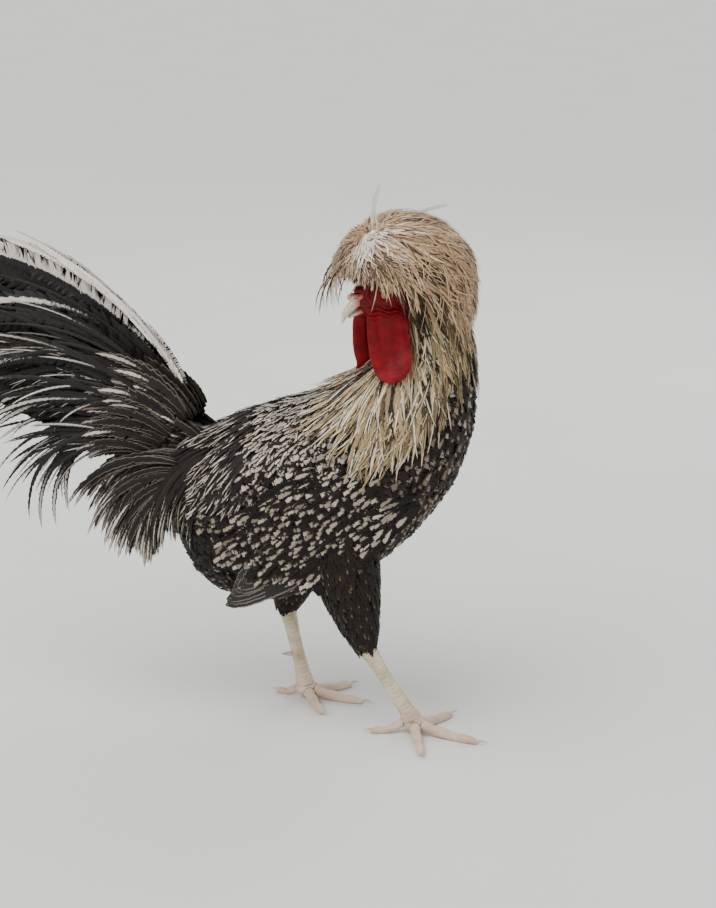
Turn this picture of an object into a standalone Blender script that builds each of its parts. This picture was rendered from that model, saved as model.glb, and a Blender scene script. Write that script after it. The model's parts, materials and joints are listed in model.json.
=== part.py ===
"""A standing Polish cockerel at life size, with its head turned back over its right side.

Metres, +Z up, the bird's front towards +X and its left side towards +Y. The floor is z = 0.
"""

import math
import random

import bmesh
import bpy
import numpy as np
from mathutils import Matrix, Vector
from mathutils.bvhtree import BVHTree

# Clearances and the least thickness of a feather
GAP = 0.0003
CUT_GAP = 0.0005
# A cut that leaves less than this share of a solid is made again with the other solver
LEAST_KEPT = 0.15
VANE_THICKNESS = 0.0016

# Sections of the trunk and neck, from the tail root to the throat: centre x, y and z,
# then the half heights towards the back and towards the belly, then the half width.
BODY_SECTIONS = np.array(
    (
        (-0.144, 0.000, 0.222, 0.014, 0.022, 0.016),
        (-0.124, 0.000, 0.221, 0.034, 0.080, 0.042),
        (-0.085, 0.000, 0.220, 0.050, 0.114, 0.060),
        (-0.040, 0.000, 0.228, 0.060, 0.113, 0.069),
        (0.005, 0.000, 0.243, 0.060, 0.101, 0.071),
        (0.045, 0.000, 0.268, 0.056, 0.082, 0.069),
        (0.076, 0.000, 0.305, 0.042, 0.062, 0.054),
        (0.094, 0.002, 0.345, 0.025, 0.036, 0.034),
        (0.094, -0.004, 0.380, 0.021, 0.024, 0.024),
        (0.086, -0.015, 0.404, 0.017, 0.018, 0.018),
    )
)
NECK_CUT = 5.75
NECK_START = NECK_CUT + 0.008
TRUNK_RINGS = 14
NECK_RINGS = 8
RING_SIDES = 20

# Head
HEAD_PLACE = Vector((0.059, -0.030, 0.398))
HEAD_YAW = math.radians(-131)
HEAD_PITCH = math.radians(10)
EYE_PLACE = Vector((0.004, 0.0125, 0.004))
EYE_RADIUS = 0.0062

# Legs: hock and ball of each foot, and the hip end of each thigh
HIP = {"right": Vector((0.022, -0.036, 0.176)), "left": Vector((-0.030, 0.036, 0.168))}
HOCK = {"right": Vector((0.047, -0.036, 0.083)), "left": Vector((-0.051, 0.031, 0.086))}
BALL = {"right": Vector((0.089, -0.024, 0.011)), "left": Vector((-0.029, 0.022, 0.011))}
SPUR_SHARE = 0.60
SPUR_WAY = {"right": Vector((-0.80, 0.58, 0.10)), "left": Vector((-0.80, -0.58, 0.10))}


def clear_scene():
    for obj in list(bpy.data.objects):
        bpy.data.objects.remove(obj, do_unlink=True)


def catmull(rows, s):
    """Smooth values at position s along the rows, which are one unit apart."""
    s = np.clip(np.asarray(s, float), 0, len(rows) - 1)
    i = np.minimum(s.astype(int), len(rows) - 2)
    t = (s - i)[..., None]
    ahead = np.vstack((2 * rows[0] - rows[1], rows, 2 * rows[-1] - rows[-2]))
    a, b, c, d = (ahead[i + k] for k in range(4))
    return 0.5 * (
        2 * b + (c - a) * t + (2 * a - 5 * b + 4 * c - d) * t**2 + (3 * b - a - 3 * c + d) * t**3
    )


def body_frame(s):
    """The section at s: its six sizes, and the direction towards the back in the x-z plane."""
    step = 1e-3
    row = catmull(BODY_SECTIONS, s)
    along = catmull(BODY_SECTIONS, np.asarray(s) + step) - catmull(BODY_SECTIONS, np.asarray(s) - step)
    along = along[..., (0, 2)]
    along = along / np.linalg.norm(along, axis=-1, keepdims=True)
    return row, np.stack((-along[..., 1], along[..., 0]), axis=-1)


def body_point(s, turn, out=0.0):
    """A point on the trunk or neck: s counts sections, turn is 0 on the back, +90 degrees on the left."""
    row, back = body_frame(s)
    up = np.cos(turn)
    lift = up * (np.where(up > 0, row[..., 3], row[..., 4]) + out)
    side = np.sin(turn) * (row[..., 5] + out)
    x = row[..., 0] + back[..., 0] * lift
    z = row[..., 2] + back[..., 1] * lift
    return np.stack((x, row[..., 1] + side, z), axis=-1)


def body_side(x, z):
    """Half width of the trunk at a place in side view, kept above a third near and past the outline."""
    s = np.linspace(0, len(BODY_SECTIONS) - 1, 240)
    row, back = body_frame(s)
    offset_x = np.asarray(x)[..., None] - row[:, 0]
    offset_z = np.asarray(z)[..., None] - row[:, 2]
    offset = np.stack((offset_x, offset_z), axis=-1)
    up = (offset * back).sum(-1)
    reach = np.where(up > 0, row[:, 3], row[:, 4])
    nearest = np.argmin(np.linalg.norm(offset, axis=-1) + (np.abs(up) > reach), axis=-1)
    best = np.take_along_axis(up / reach, nearest[..., None], axis=-1)[..., 0]
    return row[nearest, 5] * np.sqrt(1 - np.clip(np.abs(best), 0, 0.94) ** 2)


def material(name, colour, roughness=0.6, metallic=0.0):
    found = bpy.data.materials.get(name)
    if found:
        return found
    made = bpy.data.materials.new(name)
    made.use_nodes = True
    shader = made.node_tree.nodes["Principled BSDF"]
    shader.inputs["Base Color"].default_value = (*colour, 1)
    shader.inputs["Roughness"].default_value = roughness
    shader.inputs["Metallic"].default_value = metallic
    made.diffuse_color = (*colour, 1)
    return made


DARK_FEATHER = ("dark_feather", (0.045, 0.035, 0.030))
MOTTLED_FEATHER = ("mottled_feather", (0.30, 0.26, 0.22))
BUFF_FEATHER = ("buff_feather", (0.62, 0.50, 0.34))
RED_SKIN = ("red_skin", (0.55, 0.03, 0.04))
HORN = ("horn", (0.78, 0.70, 0.60))
SHANK_SKIN = ("shank_skin", (0.72, 0.66, 0.52))
EYE_SURFACE = ("eye_surface", (0.55, 0.20, 0.04))


def new_object(name, bm, finish):
    bmesh.ops.recalc_face_normals(bm, faces=bm.faces)
    mesh = bpy.data.meshes.new(name)
    bm.to_mesh(mesh)
    bm.free()
    obj = bpy.data.objects.new(name, mesh)
    bpy.context.scene.collection.objects.link(obj)
    obj.data.materials.append(material(*finish))
    return obj


def loft(name, rings, finish):
    """A closed solid through rings of points. A ring of one point is a pole."""
    bm = bmesh.new()
    loops = [[bm.verts.new(point) for point in ring] for ring in rings]
    for low, high in zip(loops, loops[1:]):
        count = max(len(low), len(high))
        for k in range(count):
            n = (k + 1) % count
            corners = [low[k % len(low)], low[n % len(low)], high[n % len(high)], high[k % len(high)]]
            corners = list(dict.fromkeys(corners))
            bm.faces.new(corners)
    for ring in (loops[0], loops[-1]):
        if len(ring) > 2:
            bm.faces.new(ring)
    bmesh.ops.triangulate(bm, faces=bm.faces)
    return new_object(name, bm, finish)


def ellipse_ring(centre, along, up, half_up, half_down, half_side, sides=12):
    """A ring of points round centre, square to along, with its top towards up."""
    along = along.normalized()
    side = up.cross(along).normalized()
    top = along.cross(side).normalized()
    points = []
    for k in range(sides):
        turn = 2 * math.pi * k / sides
        lift = math.cos(turn)
        height = lift * (half_up if lift > 0 else half_down)
        points.append(centre + top * height + side * math.sin(turn) * half_side)
    return points


def tube(name, stations, up, finish, sides=12):
    """A loft along stations of (centre, half up, half down, half side), closed with a pole at each end."""
    centres = [station[0] for station in stations]
    rings = []
    for i, (centre, half_up, half_down, half_side) in enumerate(stations):
        along = centres[min(i + 1, len(centres) - 1)] - centres[max(i - 1, 0)]
        rings.append(ellipse_ring(centre, along, up, half_up, half_down, half_side, sides))
    rings.insert(0, [centres[0] - (centres[1] - centres[0]).normalized() * stations[0][3] * 0.45])
    rings.append([centres[-1] + (centres[-1] - centres[-2]).normalized() * stations[-1][3] * 0.45])
    return loft(name, rings, finish)


def vane(name, points, normals, half_width, finish, root=0.45, camber=0.12, thickness=VANE_THICKNESS):
    """A feather as a closed blade of diamond section, ending in a point, split alike on both faces."""
    bm = bmesh.new()
    rings = []
    last = len(points) - 1
    for i, point in enumerate(points):
        if i == last:
            rings.append([bm.verts.new(point)] * 4)
            continue
        t = i / last
        along = (points[i + 1] - points[max(i - 1, 0)]).normalized()
        normal = (normals[i] - along * normals[i].dot(along)).normalized()
        side = along.cross(normal)
        half = half_width * min(1, root + 1.6 * t) * (1 - 0.35 * t**3)
        drop = normal * camber * half
        corners = (
            point - side * half - drop,
            point + normal * thickness / 2,
            point + side * half - drop,
            point - normal * thickness / 2,
        )
        rings.append([bm.verts.new(corner) for corner in corners])
    for (left0, top0, right0, low0), (left1, top1, right1, low1) in zip(rings, rings[1:]):
        for edge0, edge1, mid0, mid1 in (
            (left0, left1, top0, top1),
            (right0, right1, top0, top1),
            (left0, left1, low0, low1),
            (right0, right1, low0, low1),
        ):
            for corners in ((edge0, mid0, mid1), (edge0, mid1, edge1)):
                if len(set(corners)) == 3:
                    bm.faces.new(corners)
    left0, top0, right0, low0 = rings[0]
    bm.faces.new((left0, top0, low0))
    bm.faces.new((right0, top0, low0))
    return new_object(name, bm, finish)


def grown(obj, gap):
    """The corners of a solid, moved outwards by the gap, and its faces."""
    corners = [vert.co + vert.normal * gap for vert in obj.data.vertices]
    return corners, [tuple(face.vertices) for face in obj.data.polygons]


def solid_trees(objects):
    return [BVHTree.FromPolygons(*grown(obj, 0)) for obj in objects]


def fitted_feather(name, shape, others, *sizes, **options):
    """A feather from shape(share of its length), shortened until it stays clear of the other solids."""
    for share in (1, 0.9, 0.8, 0.7, 0.6, 0.5):
        points, normals = shape(share)
        feather = vane(name, points, normals, *sizes, **options)
        tree = BVHTree.FromPolygons(*grown(feather, 2 * CUT_GAP))
        if not any(tree.overlap(other) for other in others):
            return [feather]
        bpy.data.objects.remove(feather, do_unlink=True)
    return []


def join_pieces(core, pieces, solver="MANIFOLD"):
    """Unites the core with its feathers and keeps the one closed surface that they make."""
    group = bpy.data.collections.new(core.name + "_pieces")
    bpy.context.scene.collection.children.link(group)
    for piece in pieces:
        group.objects.link(piece)
        bpy.context.scene.collection.objects.unlink(piece)
    boolean = core.modifiers.new("join", "BOOLEAN")
    boolean.operation = "UNION"
    boolean.operand_type = "COLLECTION"
    boolean.collection = group
    boolean.solver = solver
    apply_modifiers(core)
    for piece in pieces:
        bpy.data.objects.remove(piece, do_unlink=True)
    bpy.data.collections.remove(group)
    keep_largest(core)


def apply_modifiers(obj):
    graph = bpy.context.evaluated_depsgraph_get()
    mesh = bpy.data.meshes.new_from_object(obj.evaluated_get(graph))
    obj.modifiers.clear()
    old = obj.data
    obj.data = mesh
    mesh.name = old.name
    bpy.data.meshes.remove(old)


def keep_largest(obj):
    """Drops every closed surface of the mesh but the one that holds most."""
    bm = bmesh.new()
    bm.from_mesh(obj.data)
    left = set(bm.verts)
    shells = []
    while left:
        start = left.pop()
        shell, queue = {start}, [start]
        while queue:
            for edge in queue.pop().link_edges:
                for vert in edge.verts:
                    if vert in left:
                        left.remove(vert)
                        shell.add(vert)
                        queue.append(vert)
        shells.append(shell)

    def size(shell):
        faces = {face for vert in shell for face in vert.link_faces}
        total = 0.0
        for face in faces:
            corners = [vert.co for vert in face.verts]
            for b, c in zip(corners[1:], corners[2:]):
                total += corners[0].dot(b.cross(c))
        return total

    shells.sort(key=size)
    for shell in shells[:-1]:
        bmesh.ops.delete(bm, geom=list(shell), context="VERTS")
    bm.to_mesh(obj.data)
    bm.free()


def volume(obj):
    bm = bmesh.new()
    bm.from_mesh(obj.data)
    result = bm.calc_volume(signed=True)
    bm.free()
    return result


def cut_clear(obj, *others, gap=CUT_GAP):
    """Cuts obj back so that it stays the gap clear of the other solids and meets them face to face."""
    for other in others:
        cutter = other.copy()
        cutter.data = other.data.copy()
        bpy.context.scene.collection.objects.link(cutter)
        bm = bmesh.new()
        bm.from_mesh(cutter.data)
        bm.normal_update()
        moves = [(vert, vert.normal * gap) for vert in bm.verts]
        for vert, move in moves:
            vert.co += move
        bm.to_mesh(cutter.data)
        bm.free()
        before = obj.data.copy()
        full = volume(obj)
        for solver in ("EXACT", "MANIFOLD"):
            boolean = obj.modifiers.new("clear", "BOOLEAN")
            boolean.operation = "DIFFERENCE"
            boolean.object = cutter
            boolean.solver = solver
            apply_modifiers(obj)
            if volume(obj) > LEAST_KEPT * full:
                break
            obj.data = before.copy()
        bpy.data.meshes.remove(before)
        bpy.data.objects.remove(cutter, do_unlink=True)
        keep_largest(obj)


def body_loft(name, low, high, rings, finish, pole_start=False):
    turns = np.linspace(0, 2 * np.pi, RING_SIDES, endpoint=False)
    made = []
    for s in np.linspace(low, high, rings):
        ring = body_point(np.full(RING_SIDES, s), turns)
        made.append([Vector(point) for point in ring])
    if pole_start:
        made[0] = [sum(made[0], Vector()) / RING_SIDES]
    return loft(name, made, finish)


def head_frame():
    return (
        Matrix.Translation(HEAD_PLACE)
        @ Matrix.Rotation(HEAD_YAW, 4, "Z")
        @ Matrix.Rotation(HEAD_PITCH, 4, "Y")
    )


def in_head(x, y, z):
    """A point given forward, left and up from the middle of the skull."""
    return head_frame() @ Vector((x, y, z))


def head_direction(x, y, z):
    return head_frame().to_3x3() @ Vector((x, y, z))


def make_head():
    # forward, up, half up, half down, half side
    sections = (
        (-0.026, 0.002, 0.010, 0.011, 0.009),
        (-0.020, 0.002, 0.016, 0.018, 0.0145),
        (-0.010, 0.002, 0.019, 0.020, 0.0165),
        (0.000, 0.001, 0.0185, 0.019, 0.0160),
        (0.010, -0.001, 0.0155, 0.0165, 0.0130),
        (0.018, -0.003, 0.0115, 0.0125, 0.0098),
        (0.023, -0.004, 0.0085, 0.0090, 0.0072),
    )
    stations = [(in_head(x, 0, z), up, down, side) for x, z, up, down, side in sections]
    return tube("head", stations, head_direction(0, 0, 1), RED_SKIN, sides=14)


def add_face(head):
    """The lids, the ear lobes, two folds of each cheek and the line of the mouth."""
    top = head_direction(0, 0, 1)
    pieces = []
    for sign in (1, -1):
        lid = []
        for k in range(10):
            turn = 2 * math.pi * k / 10
            forward = EYE_PLACE.x + 0.0068 * math.cos(turn)
            lid.append(in_head(forward, sign * 0.0148, EYE_PLACE.z + 0.0058 * math.sin(turn)))
        pieces.append(ring_tube("lid", lid, 0.0017, top))
        lobe = []
        for k, r in enumerate((0.0026, 0.0040, 0.0042, 0.0024)):
            place = in_head(-0.0115 - 0.0010 * k, sign * (0.0135 + 0.0008 * k), -0.001 - 0.0036 * k)
            lobe.append((place, r, r, 0.6 * r))
        pieces.append(tube("lobe", lobe, head_direction(1, 0, 0), RED_SKIN, sides=7))
        for drop in (0.0042, 0.0066):
            fold = []
            for k in range(4):
                out = sign * (0.0104 + 0.0040 * math.sin(k * 0.8))
                fold.append((in_head(0.014 - 0.006 * k, out, -drop - 0.0004 * k), 0.0011, 0.0011, 0.0018))
            pieces.append(tube("fold", fold, top, RED_SKIN, sides=5))
    join_pieces(head, pieces)
    bm = bmesh.new()
    bmesh.ops.create_cube(bm, size=1)
    bmesh.ops.scale(bm, verts=bm.verts, vec=(0.024, 0.05, 0.0009))
    bmesh.ops.transform(bm, verts=bm.verts, matrix=head_frame() @ Matrix.Translation((0.022, 0, -0.0056)))
    mouth = new_object("mouth", bm, RED_SKIN)
    cut_clear(head, mouth, gap=0)
    bpy.data.objects.remove(mouth, do_unlink=True)


def ring_tube(name, places, radius, up, sides=5):
    """A closed ring of round section through the places."""
    bm = bmesh.new()
    count = len(places)
    rings = []
    for k, place in enumerate(places):
        along = places[(k + 1) % count] - places[k - 1]
        ring = ellipse_ring(place, along, up, radius, radius, radius, sides)
        rings.append([bm.verts.new(point) for point in ring])
    # rings are matched by their nearest corners, because the section turns over with the ring
    middle = sum(places, Vector()) / count
    for ring in rings:
        centre = sum((vert.co for vert in ring), Vector()) / sides
        ring.sort(key=lambda vert: ring_turn(vert.co - centre, centre - middle, places))
    for k in range(count):
        for i in range(sides):
            j = (i + 1) % sides
            bm.faces.new((rings[k - 1][i], rings[k - 1][j], rings[k][j], rings[k][i]))
    bmesh.ops.triangulate(bm, faces=bm.faces)
    return new_object(name, bm, RED_SKIN)


def ring_turn(offset, outward, places):
    """The angle of a corner about the ring's line, from outwards to the ring's axis."""
    axis = (places[3] - places[0]).cross(places[5] - places[0]).normalized()
    return round(math.atan2(offset.dot(axis), offset.dot(outward.normalized())), 6)


def make_eyes():
    eyes = []
    for side, sign in (("left", 1), ("right", -1)):
        bm = bmesh.new()
        bmesh.ops.create_icosphere(bm, subdivisions=2, radius=EYE_RADIUS)
        bmesh.ops.translate(bm, verts=bm.verts, vec=in_head(EYE_PLACE.x, EYE_PLACE.y * sign, EYE_PLACE.z))
        eyes.append(new_object("eye_" + side, bm, EYE_SURFACE))
    return eyes


def ball(name, place, radii, finish, u_segments=8, v_segments=6):
    """An ellipsoid placed and turned with the head."""
    bm = bmesh.new()
    bmesh.ops.create_uvsphere(bm, u_segments=u_segments, v_segments=v_segments, radius=1)
    bmesh.ops.scale(bm, verts=bm.verts, vec=radii)
    bmesh.ops.transform(bm, verts=bm.verts, matrix=head_frame() @ Matrix.Translation(place))
    bmesh.ops.triangulate(bm, faces=bm.faces)
    return new_object(name, bm, finish)


def make_beak(head):
    """Both halves of the bill. The upper one is hooked and carries the high, open nostrils of the breed."""
    upper = [
        (in_head(x, 0, z), up, down, side)
        for x, z, up, down, side in (
            (0.014, 0.0005, 0.0085, 0.0045, 0.0076),
            (0.024, 0.0000, 0.0070, 0.0038, 0.0064),
            (0.034, -0.0030, 0.0054, 0.0032, 0.0050),
            (0.042, -0.0080, 0.0036, 0.0026, 0.0034),
            (0.0465, -0.0140, 0.0017, 0.0015, 0.0017),
        )
    ]
    lower = [
        (in_head(x, 0, z), up, down, side)
        for x, z, up, down, side in (
            (0.014, -0.0085, 0.0034, 0.0042, 0.0068),
            (0.024, -0.0088, 0.0026, 0.0036, 0.0054),
            (0.034, -0.0100, 0.0016, 0.0026, 0.0038),
            (0.0395, -0.0115, 0.0010, 0.0014, 0.0018),
        )
    ]
    top = head_direction(0, 0, 1)
    beak_upper = tube("beak_upper", upper, top, HORN, sides=10)
    beak_lower = tube("beak_lower", lower, top, HORN, sides=10)
    bulges = []
    for sign in (1, -1):
        bulges.append(ball("nostril", (0.0285, sign * 0.0036, 0.0048), (0.0046, 0.0026, 0.0028), HORN, 7, 5))
    join_pieces(beak_upper, bulges)
    for sign in (1, -1):
        slit = ball("slit", (0.0300, sign * 0.0062, 0.0052), (0.0022, 0.0012, 0.0007), HORN, 5, 4)
        cut_clear(beak_upper, slit, gap=0)
        bpy.data.objects.remove(slit, do_unlink=True)
    cut_clear(beak_upper, head)
    cut_clear(beak_lower, head, beak_upper)
    return [beak_upper, beak_lower]


def make_comb(head, beaks):
    """Two small horns side by side over the root of the beak."""
    comb = ball("comb", (0.018, 0, 0.0085), (0.0066, 0.0082, 0.0050), RED_SKIN, 7, 5)
    horns = []
    for sign in (1, -1):
        stations = [
            (in_head(0.018 - 0.003 * k, sign * (0.004 + 0.0028 * k), 0.0095 + 0.0042 * k), r, r, r)
            for k, r in enumerate((0.0036, 0.0032, 0.0024, 0.0012))
        ]
        horns.append(tube("comb_horn", stations, head_direction(1, 0, 0), RED_SKIN, sides=6))
    join_pieces(comb, horns)
    cut_clear(comb, head, *beaks, gap=0.0008)
    return comb


def make_wattle(side, sign, head, beaks):
    """A hanging lobe, broad and rounded below, rooted along the jaw and the cheek."""
    # down, forward middle, half breadth fore and aft, half thickness, outward
    sections = (
        (0.004, 0.0060, 0.0140, 0.0040, 0.0080),
        (0.012, 0.0060, 0.0175, 0.0052, 0.0105),
        (0.022, 0.0060, 0.0190, 0.0050, 0.0120),
        (0.034, 0.0065, 0.0195, 0.0044, 0.0128),
        (0.046, 0.0070, 0.0190, 0.0040, 0.0130),
        (0.058, 0.0080, 0.0165, 0.0036, 0.0130),
        (0.068, 0.0090, 0.0120, 0.0030, 0.0130),
        (0.0735, 0.0095, 0.0060, 0.0022, 0.0130),
    )
    rings = []
    for down, forward, breadth, thick, outward in sections:
        ring = []
        for k in range(14):
            turn = 2 * math.pi * k / 14
            out = sign * (outward + math.sin(turn) * thick)
            ring.append(in_head(forward + math.cos(turn) * breadth, out, -0.004 - down))
        rings.append(ring)
    rings.append([in_head(0.0097, sign * 0.0130, -0.0800)])
    wattle = loft("wattle_" + side, rings, RED_SKIN)
    cut_clear(wattle, head, *beaks)
    return wattle


CREST_MIDDLE = Vector((0.073, -0.022, 0.408))
CREST_REACH = 0.067
CREST_HEIGHT = 0.065
KNOB_MIDDLE = Vector((0.067, -0.024, 0.4245))
KNOB_RADIUS = 0.024
KNOB_FLOOR = 0.4120
# Feathers that stand up from the crest: turn from the beak's direction, polar angle of the tip, extra reach
STRAY_CREST_FEATHERS = ((-0.57, 0.36, 0.26), (2.4, 0.55, 0.06))


def crest_rim(turn):
    """How far down from the pole the crest hangs, by the turn from the beak's direction."""
    share = (1 - math.cos(turn)) / 2
    return math.radians(88 + 42 * share**0.8)


def crest_point(polar, turn, scale=1.0):
    """A point on the bell of the crest, polar down from its top, turn round from the beak's direction."""
    over = max(0.0, polar - math.pi / 2)
    reach = CREST_REACH * (math.sin(min(polar, math.pi / 2)) - 0.22 * over**2)
    height = CREST_HEIGHT * (math.cos(polar) if over == 0 else -over)
    yaw = HEAD_YAW + turn
    return CREST_MIDDLE + scale * Vector((math.cos(yaw) * reach, math.sin(yaw) * reach, height))


def crest_feather(rng, others, turn, start, end, reach, width, lift=0.0):
    """A feather that springs from the knob and arches over the bell, down to the polar angle end."""
    sweep = 0.16 * math.sin(turn) + rng.uniform(-0.08, 0.08)
    width *= rng.uniform(0.85, 1.1)

    def shape(share):
        points, normals = [], []
        for t in (0, 0.25, 0.6, 1):
            polar = start + (end * share - start) * t
            bell = crest_point(polar, turn + sweep * t, reach + lift * t)
            root = KNOB_MIDDLE + (crest_point(start, turn) - CREST_MIDDLE).normalized() * KNOB_RADIUS * 0.55
            point = root.lerp(bell, math.sin(min(1, t / 0.5) * math.pi / 2))
            points.append(point)
            normals.append((point - KNOB_MIDDLE + Vector((0, 0, 0.02))).normalized())
        return points, normals

    return fitted_feather("crest_feather", shape, others, width, BUFF_FEATHER)


def make_knob(*others):
    """The core of the crest, a knob on top of the skull with a flat foot over the eyes."""
    bm = bmesh.new()
    bmesh.ops.create_uvsphere(bm, u_segments=16, v_segments=9, radius=1)
    bmesh.ops.scale(bm, verts=bm.verts, vec=(KNOB_RADIUS, KNOB_RADIUS, KNOB_RADIUS * 0.85))
    bmesh.ops.translate(bm, verts=bm.verts, vec=KNOB_MIDDLE)
    bmesh.ops.triangulate(bm, faces=bm.faces)
    crest = new_object("crest", bm, BUFF_FEATHER)
    cut_flat(crest, Vector((0, 0, KNOB_FLOOR)), Vector((0, 0, -1)))
    cut_clear(crest, *others)
    return crest


def add_crest_feathers(crest, others):
    """Tiers of feathers that fall outwards from the knob, the top ones shortest."""
    rng = random.Random(11)
    feathers = []
    # count, polar angle of the roots, share of the rim's angle at the tips, reach, half width
    tiers = (
        (11, math.radians(70), 1.05, 0.87, 0.0130),
        (10, math.radians(50), 0.98, 0.92, 0.0140),
        (9, math.radians(30), 0.84, 0.96, 0.0150),
        (7, math.radians(12), 0.66, 1.00, 0.0160),
    )
    for tier, (count, start, share, reach, width) in enumerate(tiers):
        for k in range(count):
            turn = 2 * math.pi * (k + 0.5 * (tier % 2)) / count + rng.uniform(-0.05, 0.05)
            end = crest_rim(turn) * share * rng.uniform(0.94, 1.05)
            feathers += crest_feather(rng, others, turn, start, end, reach + 0.012 * (k % 2), width)
    for turn, end, lift in STRAY_CREST_FEATHERS:
        feathers += crest_feather(rng, others, turn, 0.2, end, 1.0, 0.006, lift)
    join_pieces(crest, feathers)


WING_SHOULDER = (0.076, 0.244)
WING_TIP = (-0.100, 0.112)
WING_LENGTH = math.hypot(WING_SHOULDER[0] - WING_TIP[0], WING_SHOULDER[1] - WING_TIP[1])
WING_LEAST_SIDE = 0.050


def wing_spot(along, across):
    """The place in side view that lies along from the shoulder to the tip, and across above that line."""
    run_x = (WING_TIP[0] - WING_SHOULDER[0]) / WING_LENGTH
    run_z = (WING_TIP[1] - WING_SHOULDER[1]) / WING_LENGTH
    x = WING_SHOULDER[0] + run_x * along + run_z * across
    z = WING_SHOULDER[1] + run_z * along - run_x * across
    return x, z


def wing_side(x, z):
    """How far out the body lies under the folded wing, whose tip is held away from the narrow vent."""
    side = float(body_side(x, z))
    return math.log(math.exp(side * 250) + math.exp(WING_LEAST_SIDE * 250)) / 250


def wing_path(sign, stations):
    """Points and outward directions along stations of (along, across, height above the body)."""
    points, normals = [], []
    step = 0.004
    for along, across, height in stations:
        x, z = wing_spot(along, across)
        points.append(Vector((x, sign * (wing_side(x, z) + height), z)))
        slope_x = (wing_side(x + step, z) - wing_side(x - step, z)) / (2 * step)
        slope_z = (wing_side(x, z + step) - wing_side(x, z - step)) / (2 * step)
        normals.append(Vector((-slope_x, sign, -slope_z)).normalized())
    return points, normals


def make_wing(side, sign, torso):
    """The core of a folded wing, a pad over the arm."""
    rings = []
    breadths = (0.012, 0.027, 0.036, 0.040, 0.038, 0.029, 0.012)
    for k, breadth in enumerate(breadths):
        along = (0.004 + 0.66 * k / (len(breadths) - 1)) * WING_LENGTH
        outer, inner = [], []
        for across in (-1, -0.55, 0, 0.55, 1):
            x, z = wing_spot(along, across * breadth)
            thick = (0.0085 - 0.004 * k / len(breadths)) * (1 - 0.75 * across**4) * min(1, 0.45 + 0.3 * k)
            outer.append(Vector((x, sign * (wing_side(x, z) + 0.0012 + thick), z)))
            inner.append(Vector((x, sign * (float(body_side(x, z)) - 0.004), z)))
        rings.append(outer + inner[::-1])
    wing = loft("wing_" + side, rings, MOTTLED_FEATHER)
    cut_clear(wing, torso)
    return wing


def add_wing_feathers(wing, sign, others):
    rng = random.Random(21)
    feathers = []

    def add(stations, width, finish):
        def shape(share):
            root = stations[0]
            kept = [(root[0] + (along - root[0]) * share, root[1] + (across - root[1]) * share, height)
                    for along, across, height in stations]
            return wing_path(sign, kept)

        feathers.extend(fitted_feather("wing_feather", shape, others, width, finish, camber=0.06))

    for k in range(5):
        drop = -0.030 + 0.006 * k
        length = 0.98 - 0.035 * k + rng.uniform(-0.01, 0.01)
        height = 0.0040 + 0.0013 * k
        add(
            [(0.46 * WING_LENGTH, drop * 0.9, 0.0035), (0.64 * WING_LENGTH, drop, height),
             (0.84 * WING_LENGTH, drop * 0.75, height), (length * WING_LENGTH, drop * 0.35, height)],
            0.0085, DARK_FEATHER)
    for k in range(6):
        across = -0.010 + 0.0092 * k
        length = 0.90 - 0.030 * k + rng.uniform(-0.01, 0.01)
        height = 0.0085 + 0.0013 * k
        add(
            [((0.40 - 0.012 * k) * WING_LENGTH, across * 0.8, 0.0040), (0.55 * WING_LENGTH, across, height),
             (0.72 * WING_LENGTH, across, height), (length * WING_LENGTH, across * 0.8, height - 0.001)],
            0.0095, DARK_FEATHER)
    for start, end, count, height in ((0.24, 0.56, 5, 0.0120), (0.08, 0.36, 4, 0.0125)):
        for k in range(count):
            spread = -1 + 2 * k / (count - 1)
            breadth = 0.034 if start > 0.2 else 0.025
            tip = end - 0.05 * abs(spread) + rng.uniform(-0.015, 0.015)
            rise = height + 0.0012 * (k % 2) - 0.003 * abs(spread) ** 3
            add(
                [(start * WING_LENGTH, spread * breadth * 0.75, 0.0045),
                 (0.5 * (start + tip) * WING_LENGTH, spread * breadth, rise),
                 (tip * WING_LENGTH, spread * breadth * 1.08, rise)],
                0.0115, MOTTLED_FEATHER)
    join_pieces(wing, feathers)


TAIL_ROOT = Vector((-0.118, 0.0, 0.244))
# Length, rise at the root, rise at the tip, distance from the middle
SICKLES = (
    (0.310, 62, -52, 0.010),
    (0.255, 53, -44, 0.017),
    (0.195, 42, -40, 0.020),
    (0.140, 24, -84, 0.022),
)


def arc_points(start, length, rise0, rise1, out0, out1, count, sign=1):
    """A feather's middle line in degrees: it rises from rise0 to rise1 and drifts out from out0 to out1."""
    points = [start.copy()]
    step = length / (count - 1)
    for k in range(count - 1):
        t = (k + 0.5) / (count - 1)
        rise = math.radians(rise0 + (rise1 - rise0) * t)
        out = math.radians(out0 + (out1 - out0) * t)
        level, high = math.cos(rise), math.sin(rise)
        way = Vector((-level * math.cos(out), sign * math.sin(out), high * math.cos(out)))
        points.append(points[-1] + way * step)
    return points


def make_tail(torso):
    """The core of the tail, a blunt wedge that the feathers spring from."""
    stations = []
    line = arc_points(TAIL_ROOT + Vector((0.012, 0, -0.022)), 0.135, 42, 36, 0, 0, 6)
    for k, place in enumerate(line):
        t = k / 5
        stations.append((place, 0.030 + 0.006 * t, 0.042 - 0.004 * t, 0.022 * (1 - t) + 0.005))
    tail = tube("tail", stations, Vector((1, 0, 1)), DARK_FEATHER, sides=10)
    cut_clear(tail, torso)
    return tail


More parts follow.
